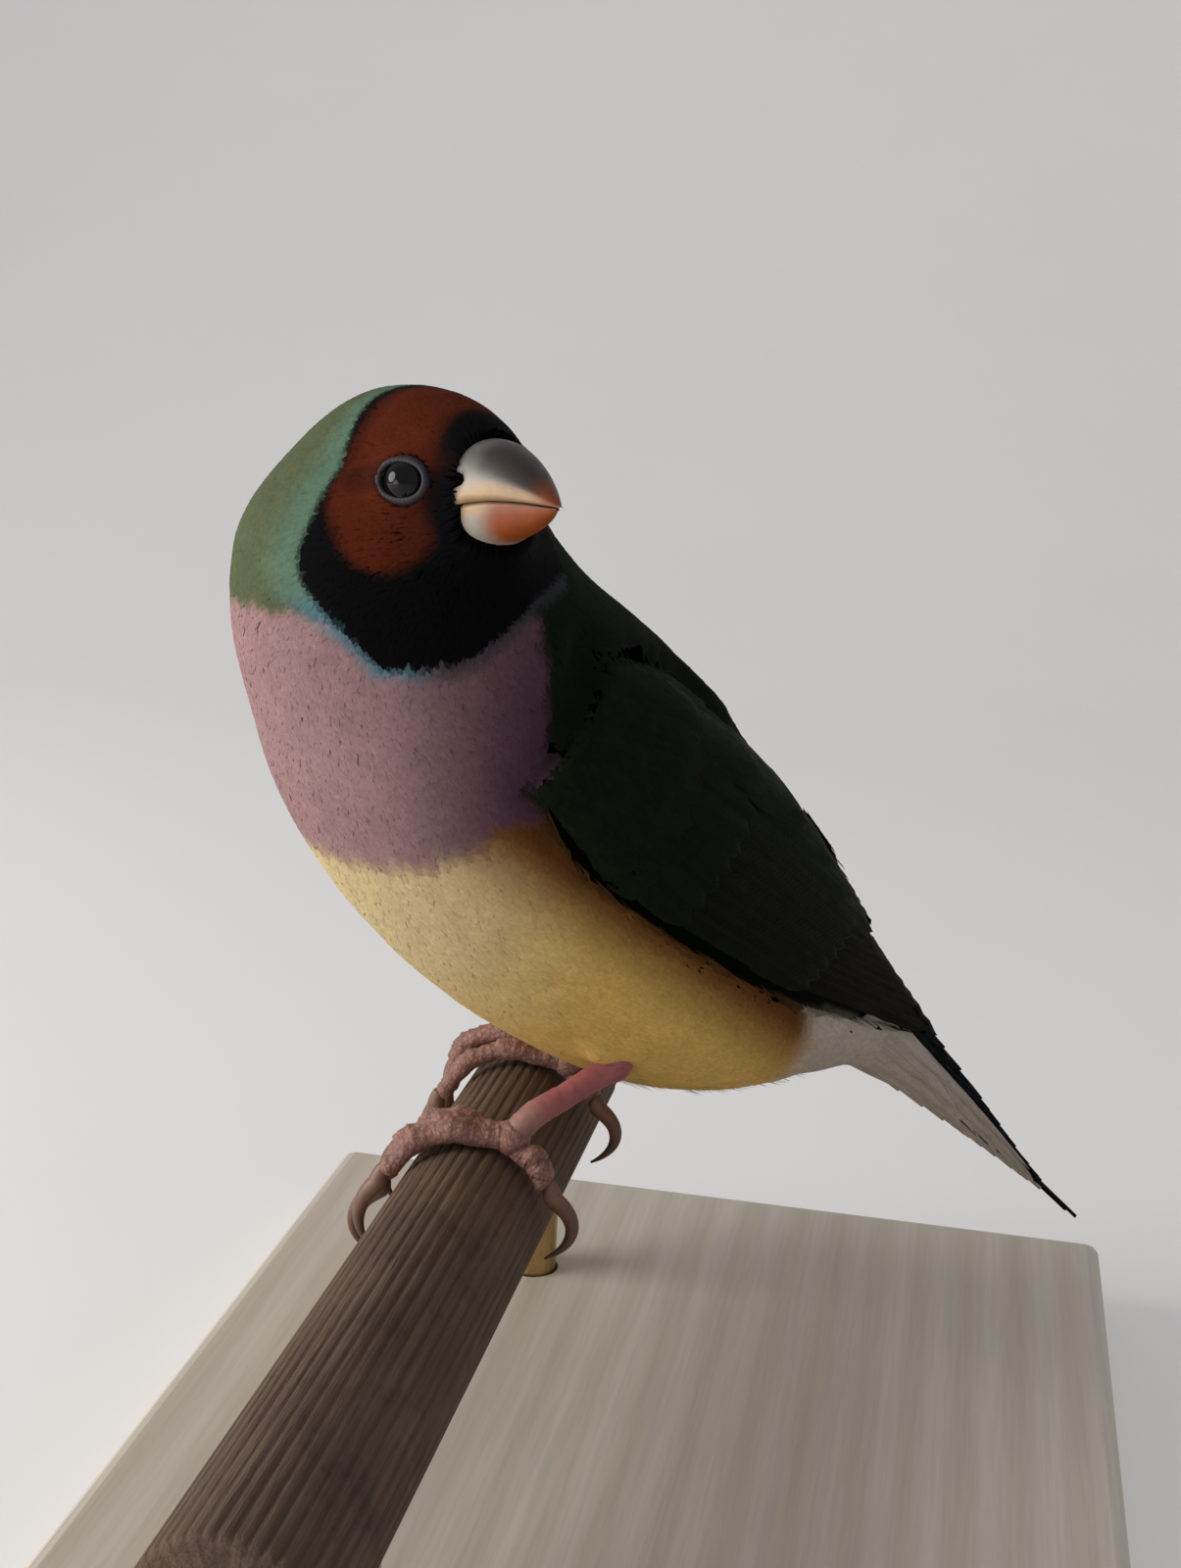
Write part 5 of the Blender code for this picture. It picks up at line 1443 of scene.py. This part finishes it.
def bill_half(upper):
    """Cross-sections of half the bill in the head's frame, with (along, height) for colour."""
    reach = BILL_LENGTH * (1.0 if upper else 0.955)
    start = BILL_ROOT - BILL_PLUG
    sign = 1 if upper else -1
    a = np.linspace(0, math.pi, BILL_ARCH)
    bulge = np.sin(a).clip(0) ** 0.85
    points, marks = [], []
    for t in 1 - (1 - np.linspace(0, 1, BILL_ROWS)) ** 1.35:
        x = between(start, BILL_ROOT + reach, t)
        s = max(0.0, (x - BILL_ROOT) / (reach + 0.02 * MM))
        mouth = between(BILL_MOUTH, BILL_TIP_UP, s ** 2) + MOUTH_RISE * math.sin(math.pi * min(s, 1.0))
        wide = BILL_HALF_WIDTH * (1 - s ** 1.5) ** 0.85 * (1.0 if upper else 0.93)
        tall = ((BILL_TOP - BILL_MOUTH) * (1 - s ** 1.75) ** 0.9 if upper
                else (BILL_MOUTH - BILL_BOTTOM) * (1 - 0.45 * s - 0.55 * s ** 3.5) ** 0.95)
        inset = 1 - 0.08 * min(1.0, max(0.0, BILL_ROOT - x) / BILL_PLUG)
        wide, tall = max(wide * inset, 0.16 * MM), max(tall * inset, 0.16 * MM)
        flat = mouth + sign * 0.012 * MM
        across = np.sign(np.cos(a)) * np.abs(np.cos(a)) ** 0.9 * wide
        high = flat + sign * tall * bulge
        if upper:
            across = across * (1 - 0.16 * nostril((x - BILL_ROOT) / MM, high / MM, 0.5))
        arch = np.stack([np.full(BILL_ARCH, x), across, high], axis=1)
        floor = [x, 0, flat + sign * 0.12 * MM] + np.linspace(-0.92, 0.92, BILL_FLOOR)[:, None] * [0, wide, 0]
        points.append(np.concatenate([arch, floor]))
        marks.append(np.column_stack([np.full(BILL_ARCH + BILL_FLOOR, s), np.append(bulge, np.zeros(BILL_FLOOR))]))
    return np.array(points), np.array(marks)


def bill_colours(upper, s, height, beside_nostril):
    """Ivory at the root and orange towards the tip; on the upper half a grey top and a dark patch on the ridge are
    painted shade, and so are the darkened nostril and the darker line along the mouth.
    """
    bare = bpy.context.scene.finch_bare
    cream = np.array(bare.bill_cream)
    if upper:
        # Painted shade: the top of the upper bill greys, and its ridge darkens to dusky brown.
        shade = over(bare.bill_ivory, bare.bill_grey, soft_step((height - 0.30 + 0.2 * s) / 0.4))
        ridge = soft_step((height - 0.46 + 0.25 * s) / 0.25) * soft_step((s - 0.18) / 0.2)
        shade = over(shade, bare.bill_brown, 0.95 * ridge)
        shade = over(shade, cream, soft_step((0.40 - height + 0.15 * s) / 0.3) * soft_step((s + 0.1) / 0.3))
        shade = over(shade, bare.bill_orange, 0.8 * soft_step((s - 0.72) / 0.25))
        # Painted shade in the nostril's hollow.
        shade = over(shade, NOSTRIL_SHADE, beside_nostril * 0.3)
    else:
        shade = over(bare.bill_ivory, cream, soft_step((0.42 - height) / 0.3) * (1 - soft_step((s - 0.3) / 0.3)))
        shade = over(shade, bare.bill_orange, soft_step((s - 0.17 + 0.15 * (height - 0.5)) / 0.30)
                     * (0.85 + 0.15 * soft_step((height - 0.1) / 0.4)))
    # Painted shade: both halves darken along the mouth line, in the crease where they meet.
    return over(shade, cream * 0.45, soft_step((0.06 - height) / 0.06) * 0.6)


def make_bill():
    """Both halves of the bill, closed along the mouth line."""
    finish = horn("bill_horn", 0.40, 900.0)
    for part in ("upper", "lower"):
        rings, marks = bill_half(part == "upper")
        rows, ring = rings.shape[:2]
        ends = [rings[0].mean(axis=0), rings[-1].mean(axis=0)]
        points = np.concatenate([rings.reshape(-1, 3), ends])
        faces = closed_rings(rows, ring)
        obj = mesh_object("bill_horn_" + part, carried(points, HEAD), flipped(faces) if part == "upper" else faces)
        s, height = np.concatenate([marks.reshape(-1, 2), marks[[0, -1], 0]]).T
        beside_nostril = nostril((points[:, 0] - BILL_ROOT) / MM, points[:, 2] / MM, 0.42)
        beside_nostril[-2:] = 0
        paint(obj, "Marking", bill_colours(part == "upper", s, height, beside_nostril))
        finish_piece(obj, finish, ("bill_" + part,))


def eye_place(name, side):
    """The middle of an eye, with z out of the head and x towards the bill."""
    turn = HEAD.to_3x3()
    out = (turn @ Vector((EYE_OUT[0], side * EYE_OUT[1], EYE_OUT[2]))).normalized()
    ahead = turn @ Vector((1, 0, -0.12))
    ahead = (ahead - out * ahead.dot(out)).normalized()
    low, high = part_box("eye_" + name)
    return Matrix.Translation((low + high) / 2) @ from_axes(ahead, out.cross(ahead), out)


def make_eyes():
    """The balls of both eyes, a little swollen over the pupil, and their lids."""
    gloss = eye_gloss()
    lid_skin = horn("lid_skin", 0.62, 2600.0)
    polar = np.linspace(0.001, math.pi - 0.001, EYE_ROWS)
    turn = np.linspace(0, 2 * math.pi, EYE_RING, endpoint=False)
    radius = (1 + 0.05 * bell(polar / 0.5)) * EYE_RADIUS * 1.04
    flat, out = np.sin(polar) * radius, np.cos(polar) * radius
    ball = np.stack([np.outer(flat, np.cos(turn)), np.outer(flat, np.sin(turn)),
                     np.repeat(out[:, None], EYE_RING, axis=1)], axis=-1).reshape(-1, 3)
    first = np.arange(EYE_RING)
    ends = np.stack([first[::-1], (EYE_ROWS - 1) * EYE_RING + first])
    faces = flipped([grid_faces(EYE_ROWS, EYE_RING, closed=True), ends])
    angle = np.repeat(polar, EYE_RING)
    shade = over(bpy.context.scene.finch_bare.iris_brown, PUPIL_BLACK, soft_step((0.52 - angle) / 0.06))
    shade = over(shade, EYE_RIM, soft_step((angle - 0.95) / 0.1))
    for name, side in SIDES:
        place = eye_place(name, side)
        obj = mesh_object("eye_" + name + "_ball", carried(ball, place), faces)
        paint(obj, "Marking", shade)
        finish_piece(obj, gloss, ("eye_" + name,))
        make_lid(name, place, lid_skin)


def make_lid(name, place, finish):
    """The bare beaded ring of the lids, a little pointed fore and aft, wrapping over the ball."""
    turn = np.linspace(0, 2 * math.pi, LID_TURNS, endpoint=False)
    beads = 1 + 0.12 * np.cos(turn * 30)
    middle = LID_MIDDLE * (1 + 0.13 * np.cos(2 * turn))
    ring = []
    for b in np.linspace(0, 2 * math.pi, LID_SIDES, endpoint=False):
        out, up = math.cos(b), math.sin(b)
        r = middle + 0.27 * out * (1.6 if out > 0 else 1)
        rise = 0.26 * beads if up > 0 else np.full(LID_TURNS, 0.90)
        h = LID_HEIGHT + up * rise - 0.34 * max(0, out)
        ring.append(np.stack([r * np.cos(turn), r * np.sin(turn), h], axis=1))
    points = np.stack(ring, axis=1).reshape(-1, 3)
    i, j = np.meshgrid(np.arange(LID_TURNS), np.arange(LID_SIDES), indexing="ij")
    here, ahead, side = i * LID_SIDES, (i + 1) % LID_TURNS * LID_SIDES, (j + 1) % LID_SIDES
    faces = np.stack([here + j, ahead + j, ahead + side, here + side], axis=-1).reshape(-1, 4)
    obj = mesh_object("lid_" + name, carried(points * MM, place), [faces])
    grey = np.array(bpy.context.scene.finch_bare.lid_grey)
    # Painted shade: the ring darkens on its underside, where it meets the ball.
    paint(obj, "Marking", over(grey, grey * 0.3, soft_step((0.95 - points[:, 2]) / 0.3)))
    finish_piece(obj, finish)


def perch_wrap(y, angle, lift):
    """Points over the perch's surface; angle turns from its top towards the side the bird faces."""
    reach = PERCH_RADIUS + lift
    x, z = PERCH_CENTRE[0] - np.sin(angle) * reach, PERCH_CENTRE[1] + np.cos(angle) * reach
    return np.stack([x, y + 0 * angle, z], axis=-1)


def tube(path, radii, sides, relief, up):
    """Points and faces of a closed tube along a path. relief(i, angle) scales its radius; angle 0 faces up."""
    ahead = unit(np.gradient(path, axis=0))
    side = unit(np.cross(ahead, up))
    top = np.cross(side, ahead)
    angle = np.linspace(0, 2 * math.pi, sides, endpoint=False)
    rings = []
    for i in range(len(path)):
        r = radii[i] * relief(i, angle)
        rings.append(path[i] + np.outer(r * np.cos(angle), top[i]) + np.outer(r * np.sin(angle), side[i]))
    return np.concatenate([*rings, path[:1], path[-1:]]), closed_rings(len(path), sides)


def dense(points, radii, count):
    """A finer smooth path and its radii through a few points."""
    points = np.array(points, float)
    steps = np.concatenate([[0], np.cumsum(np.linalg.norm(np.diff(points, axis=0), axis=1))])
    at = np.linspace(0, steps[-1], count)
    return smooth_through(at, steps, points), smooth_through(at, steps, np.array(radii)), at


def scutes(at, period, size, phase=0.0):
    """Overlapping plates on a toe's or leg's upper side, as a scale on its radius."""
    def relief(i, angle):
        plate = at[i] / period
        saw = (plate + phase + 0.16 * np.sin(angle * 2 + plate * 1.7)) % 1.0
        facing = np.clip(np.cos(angle) * 1.4 + 0.35, 0, 1)
        pad = np.clip(-np.cos(angle), 0, 1)
        flake = np.sin(angle * 5 + plate * 9.1) * np.sin(angle * 3 - plate * 5.3 + phase * 40)
        return (1 + size * (saw ** 2 - 0.35) * facing + 0.28 * size * flake
                + 0.05 * pad * math.sin(2 * math.pi * plate / 2.6))
    return relief


def leg_piece(name, built, colours, node, finish):
    """Joins the tubes of one CAD node's place into one piece. colours holds one for all points or one for each."""
    start, faces = 0, []
    for spots, quads in built:
        faces += [f + start for f in quads]
        start += len(spots)
    obj = mesh_object(name, np.concatenate([spots for spots, _ in built]), faces)
    paint(obj, "Marking", colours)
    finish_piece(obj, finish, (node,))


def toe_tube(hub, base, plan, phase):
    """A jointed toe from the foot's hub over the perch."""
    start, end, thick, arch = plan
    t = np.linspace(0, 1, TOE_KNOTS)
    radius = thick * MM * (1 - 0.26 * t) * (1 + 0.12 * np.cos(6 * math.pi * t))
    lift = arch * MM * np.sin(math.pi * t) ** 2 + 0.5 * MM * t
    knots = perch_wrap(base + between(start[0], end[0], t) * MM, np.radians(between(start[1], end[1], t)),
                       radius + GAP * 0.35 + lift)
    knots = np.concatenate([[hub], knots[2:]])
    path, radius, at = dense(knots, np.concatenate([[HUB_RADIUS * 0.8], radius[2:]]), TOE_STEPS)
    round_end = np.sqrt(np.clip(1 - ((at / at[-1] - 0.93) / 0.07).clip(0, 1) ** 2, 0.05, 1))
    up = unit((path - [PERCH_CENTRE[0], 0, PERCH_CENTRE[1]]) * [1, 0, 1])
    return tube(path, radius * round_end, TOE_SIDES, scutes(at, 1.05 * MM, 0.17, phase), up)


def make_claw(name, toe, base, finish):
    """A curved claw at the end of its toe, darker towards its tip."""
    end_along, end_angle = TOE_PLANS[name][toe][1]
    along, swing, closing, bend = CLAW_PLANS[name][toe]
    t = np.linspace(-0.30, 1, CLAW_STEPS)
    shown = np.clip(t, 0, 1)
    angle = np.radians(end_angle + math.copysign(CLAW_SKIP, swing) + swing * t)
    rise = 1.7 * MM + 1.12 * bend * MM * np.sin(math.pi * shown * closing) - 0.6 * MM * t
    path = perch_wrap(base + (end_along + along * t) * MM, angle, rise)
    radius = CLAW_RADIUS * 1.2 * (1 - 0.88 * shown ** 1.35) * (1 - 0.35 * np.clip(-t / 0.3, 0, 1) ** 2)
    up = unit(np.cross(np.gradient(path, axis=0), [0, 1, 0]))
    built = tube(path, radius, CLAW_SIDES, lambda i, a: 1 - 0.18 * np.abs(np.sin(a)) + 0.04 * np.cos(a), up)
    brown = np.array(bpy.context.scene.finch_bare.claw_horn)
    colours = over(brown, brown * 0.45, soft_step(np.append(np.repeat(t, CLAW_SIDES), [0, 1])))
    node = "claw_" + name + "_" + toe
    leg_piece(node + "_horn", [built], colours, node, finish)


def make_legs():
    """Tarsi, toes and claws, each in the place of its CAD node."""
    bare = bpy.context.scene.finch_bare
    scaly, smooth = scaly_skin(), horn("leg_skin", 0.45, 1400.0)
    claw_finish = horn("claw_horn", 0.34, 1500.0)
    for name, _ in SIDES:
        base = FOOT_Y[name]
        hub_y, hub_angle = base + FOOT_HUBS[name][0] * MM, math.radians(FOOT_HUBS[name][1])
        hub = perch_wrap(hub_y, hub_angle, HUB_RADIUS + GAP)
        feet = []
        for toe, plan in TOE_PLANS[name].items():
            feet.append(toe_tube(hub, base, plan, len(toe) * 0.3))
            make_claw(name, toe, base, claw_finish)
        foot = perch_wrap(hub_y, hub_angle, HUB_RADIUS * 1.9 + GAP)
        heel, knee = np.array(BODY @ Vector(HEELS[name])), np.array(BODY @ Vector(KNEES[name]))
        down = unit(foot - heel)
        s = np.linspace(-1, 1, BALL_STEPS)
        ball = HUB_RADIUS * 1.05
        feet.append(tube(hub + np.outer(s, down) * ball, ball * np.sqrt(1.0001 - s ** 2), BALL_SIDES,
                         scutes((s + 1) * HUB_RADIUS, 0.9 * MM, 0.08), turned([[1, 0, 0.4]], BODY)))
        leg_piece("foot_" + name + "_scales", feet, bare.toe_pink, "foot_" + name, scaly)

        spine = [hub + down * 0.4 * MM, *(between(foot, heel, share) for share in (0.12, 0.5, 0.86)), heel,
                 between(heel, knee, 0.35), knee]
        path, radii, at = dense(spine, np.array(TARSUS_RADII) * MM, TARSUS_STEPS)
        radii = radii * np.sqrt(np.clip(1 - (1 - at / (1.1 * MM)).clip(0, 1) ** 2, 0.02, 1))
        built = tube(path, radii, TARSUS_SIDES, scutes(at, 1.9 * MM, 0.05), turned([[1, 0, 0.2]], BODY))
        above_foot = np.append(np.repeat(at, TARSUS_SIDES), at[[0, -1]]) - 2.2 * MM
        colours = over(bare.leg_pink, bare.toe_pink, 1 - soft_step(above_foot / (3.0 * MM)))
        leg_piece("tarsus_" + name + "_scales", [built], colours, "tarsus_" + name, smooth)


# Perch and stand

def make_perch():
    """The reeded dowel with round ridges, softly worn, and rounded end faces."""
    count = PERCH_FLUTES * 10
    a = np.linspace(0, 2 * math.pi, count, endpoint=False)
    groove = 1 - (0.5 - 0.5 * np.cos(PERCH_FLUTES * a)) ** 3
    first, last = PERCH_ENDS
    edge = np.array([0.0, 0.1, 0.3, 0.6]) * MM
    y = np.concatenate([first + edge, np.linspace(first + 2 * MM, last - 2 * MM, 60), last - edge[::-1]])
    ends = np.minimum(y - first, last - y) / MM
    inset = 0.45 * MM * (1 - np.clip(ends / 0.6, 0, 1)) ** 2
    depth = FLUTE_DEPTH * (1 + 0.3 * np.sin(y * 210)[:, None] * np.sin(a * 3)[None])
    radius = PERCH_RADIUS - inset[:, None] - depth * (1 - groove)[None] * 1.15
    points = np.stack([PERCH_CENTRE[0] + radius * np.sin(a), np.repeat(y[:, None], count, axis=1),
                       PERCH_CENTRE[1] + radius * np.cos(a)], axis=-1).reshape(-1, 3)
    middles = [[PERCH_CENTRE[0], end, PERCH_CENTRE[1]] for end in PERCH_ENDS]
    obj = mesh_object("perch_dowel", np.concatenate([points, middles]), flipped(closed_rings(len(y), count)))
    obj.data.set_sharp_from_angle(angle=math.radians(50))
    layer = obj.data.attributes.new("Groove", "FLOAT", "POINT")
    layer.data.foreach_set("value", np.append(np.tile(groove, len(y)), [1, 1]).astype(np.float32))
    finish_piece(obj, reeded_wood(), ("perch",))


def finish_stand():
    """Oiled wood for the stand's base and brass for its rods, on the CAD nodes themselves."""
    wood, brass = oiled_base(), satin_brass()
    for name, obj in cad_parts.items():
        if name.startswith("stand"):
            obj.data.materials.clear()
            obj.data.materials.append(wood if name == "stand_base" else brass)
            obj.data.shade_smooth()
            obj.data.set_sharp_from_angle(angle=math.radians(35))


# Stage

CAMERA_PLACE = (0.02350, -0.16499, 0.10915)
CAMERA_AXES = ((0.98106, -0.09129, 0.17094), (0.18713, 0.21713, -0.95805), (0.05033, 0.97186, 0.23014))
CAMERA_LENS = 48.15
CAMERA_SENSOR = 36.0
# Each light: its setting, place, the height it aims at, size and tint
LIGHTS = {
    "key_light": ("key_power", (-0.50, -0.16, 0.24), 0.06, 0.40, (1.0, 0.985, 0.96)),
    "low_light": ("low_power", (-0.30, -0.34, 0.02), 0.05, 0.25, (1.0, 0.98, 0.95)),
    "fill_light": ("fill_power", (0.45, -0.40, 0.35), 0.06, 0.6, (1.0, 0.97, 0.94)),
}
SURROUND_BLUE = (0.93, 0.95, 1.0, 1.0)
FLOOR_HALF = 1.8
FLOOR_BEND = (0.35, 0.55)


def area_light(name, place, aim, size, power, tint):
    """A round soft light that faces a point."""
    data = bpy.data.lights.new(name, "AREA")
    data.shape = "DISK"
    data.size = size
    data.energy = power
    data.color = tint
    light = bpy.data.objects.new(name, data)
    light.location = place
    light.rotation_mode = "QUATERNION"
    light.rotation_quaternion = (Vector(aim) - Vector(place)).to_track_quat("-Z", "Y")
    bpy.context.scene.collection.objects.link(light)


def make_floor():
    """A pale floor that sweeps up behind."""
    start, radius = FLOOR_BEND
    profile = [(-1.6, 0.0), (-0.4, 0.0), (0.0, 0.0), (start, 0.0)]
    profile += [(start + radius * math.sin(a), radius - radius * math.cos(a))
                for a in np.linspace(0, math.pi / 2, 24)[1:]]
    profile.append((start + radius, FLOOR_HALF))
    points = np.array([(x, y, z - 0.2 * MM) for y, z in profile for x in (-FLOOR_HALF, -0.6, 0.6, FLOOR_HALF)])
    floor = mesh_object("floor", points, [grid_faces(len(profile), 4)])
    floor.data.materials.append(pale_floor())


def make_camera():
    """The camera, set where the photo was taken from."""
    data = bpy.data.cameras.new("camera")
    data.lens = CAMERA_LENS
    data.sensor_width = CAMERA_SENSOR
    data.clip_start = 0.01
    camera = bpy.data.objects.new("camera", data)
    camera.matrix_world = Matrix.Translation(CAMERA_PLACE) @ Matrix(CAMERA_AXES).to_4x4()
    bpy.context.scene.collection.objects.link(camera)
    bpy.context.scene.camera = camera


def make_stage():
    """Floor, soft lights, pale surround and camera."""
    scene = bpy.context.scene
    choices = scene.finch_stage
    make_floor()
    for name, (setting, place, height, size, tint) in LIGHTS.items():
        area_light(name, place, (0, 0, height), size, getattr(choices, setting), tint)
    world = bpy.data.worlds.new("studio")
    world.use_nodes = True
    background = world.node_tree.nodes["Background"]
    background.inputs["Color"].default_value = SURROUND_BLUE
    background.inputs["Strength"].default_value = choices.surround
    scene.world = world
    make_camera()
    scene.view_settings.view_transform = "Standard"


# Operators

class FINCH_OT_stage(bpy.types.Operator):
    """Makes the floor, the lights and the camera"""
    bl_idname = "finch.stage"
    bl_label = "Stage"
    bl_options = {"REGISTER", "UNDO"}

    def execute(self, context):
        make_stage()
        return {"FINISHED"}


class FINCH_OT_skin(bpy.types.Operator):
    """Makes the skin under the feathers"""
    bl_idname = "finch.skin"
    bl_label = "Skin"
    bl_options = {"REGISTER", "UNDO"}

    def execute(self, context):
        make_skin()
        return {"FINISHED"}


class FINCH_OT_coat(bpy.types.Operator):
    """Makes the feathers of the head and body"""
    bl_idname = "finch.coat"
    bl_label = "Coat"
    bl_options = {"REGISTER", "UNDO"}

    def execute(self, context):
        make_coat()
        return {"FINISHED"}


class FINCH_OT_wings(bpy.types.Operator):
    """Makes the feathers of both folded wings"""
    bl_idname = "finch.wings"
    bl_label = "Wings"
    bl_options = {"REGISTER", "UNDO"}

    def execute(self, context):
        make_wings()
        return {"FINISHED"}


class FINCH_OT_tail(bpy.types.Operator):
    """Makes the feathers of the tail"""
    bl_idname = "finch.tail"
    bl_label = "Tail"
    bl_options = {"REGISTER", "UNDO"}

    def execute(self, context):
        make_tail()
        return {"FINISHED"}


class FINCH_OT_bill(bpy.types.Operator):
    """Makes both halves of the bill"""
    bl_idname = "finch.bill"
    bl_label = "Bill"
    bl_options = {"REGISTER", "UNDO"}

    def execute(self, context):
        make_bill()
        return {"FINISHED"}


class FINCH_OT_eyes(bpy.types.Operator):
    """Makes the eyes and their lids"""
    bl_idname = "finch.eyes"
    bl_label = "Eyes"
    bl_options = {"REGISTER", "UNDO"}

    def execute(self, context):
        make_eyes()
        return {"FINISHED"}


class FINCH_OT_legs(bpy.types.Operator):
    """Makes the legs, toes and claws"""
    bl_idname = "finch.legs"
    bl_label = "Legs"
    bl_options = {"REGISTER", "UNDO"}

    def execute(self, context):
        make_legs()
        return {"FINISHED"}


class FINCH_OT_perch(bpy.types.Operator):
    """Makes the reeded perch"""
    bl_idname = "finch.perch"
    bl_label = "Perch"
    bl_options = {"REGISTER", "UNDO"}

    def execute(self, context):
        make_perch()
        return {"FINISHED"}


class FINCH_OT_stand(bpy.types.Operator):
    """Finishes the stand's base and rods"""
    bl_idname = "finch.stand"
    bl_label = "Stand"
    bl_options = {"REGISTER", "UNDO"}

    def execute(self, context):
        finish_stand()
        return {"FINISHED"}


OPERATORS = (
    FINCH_OT_stage,
    FINCH_OT_skin,
    FINCH_OT_coat,
    FINCH_OT_wings,
    FINCH_OT_tail,
    FINCH_OT_bill,
    FINCH_OT_eyes,
    FINCH_OT_legs,
    FINCH_OT_perch,
    FINCH_OT_stand,
)


class FINCH_PT_pieces(bpy.types.Panel):
    """The finch's pieces and the sizes and colours they are made with."""
    bl_idname = "FINCH_PT_pieces"
    bl_label = "Gouldian finch"
    bl_space_type = "VIEW_3D"
    bl_region_type = "UI"
    bl_category = "Finch"

    def draw(self, context):
        for made in OPERATORS:
            self.layout.operator(made.bl_idname)
        for name, group in SETTINGS.items():
            box = self.layout.box()
            for key in group.__annotations__:
                box.prop(getattr(context.scene, name), key)


CLASSES = (*SETTINGS.values(), *OPERATORS, FINCH_PT_pieces)


def register():
    """Adds the settings, the operators and the panel."""
    for item in CLASSES:
        bpy.utils.register_class(item)
    for name, group in SETTINGS.items():
        setattr(bpy.types.Scene, name, PointerProperty(type=group))


def unregister():
    """Takes them away again."""
    for name in SETTINGS:
        delattr(bpy.types.Scene, name)
    for item in reversed(CLASSES):
        bpy.utils.unregister_class(item)


def main():
    """Makes every piece in order."""
    register()
    for made in OPERATORS:
        getattr(bpy.ops.finch, made.bl_idname.split(".")[1])()


if __name__ == "__main__":
    main()
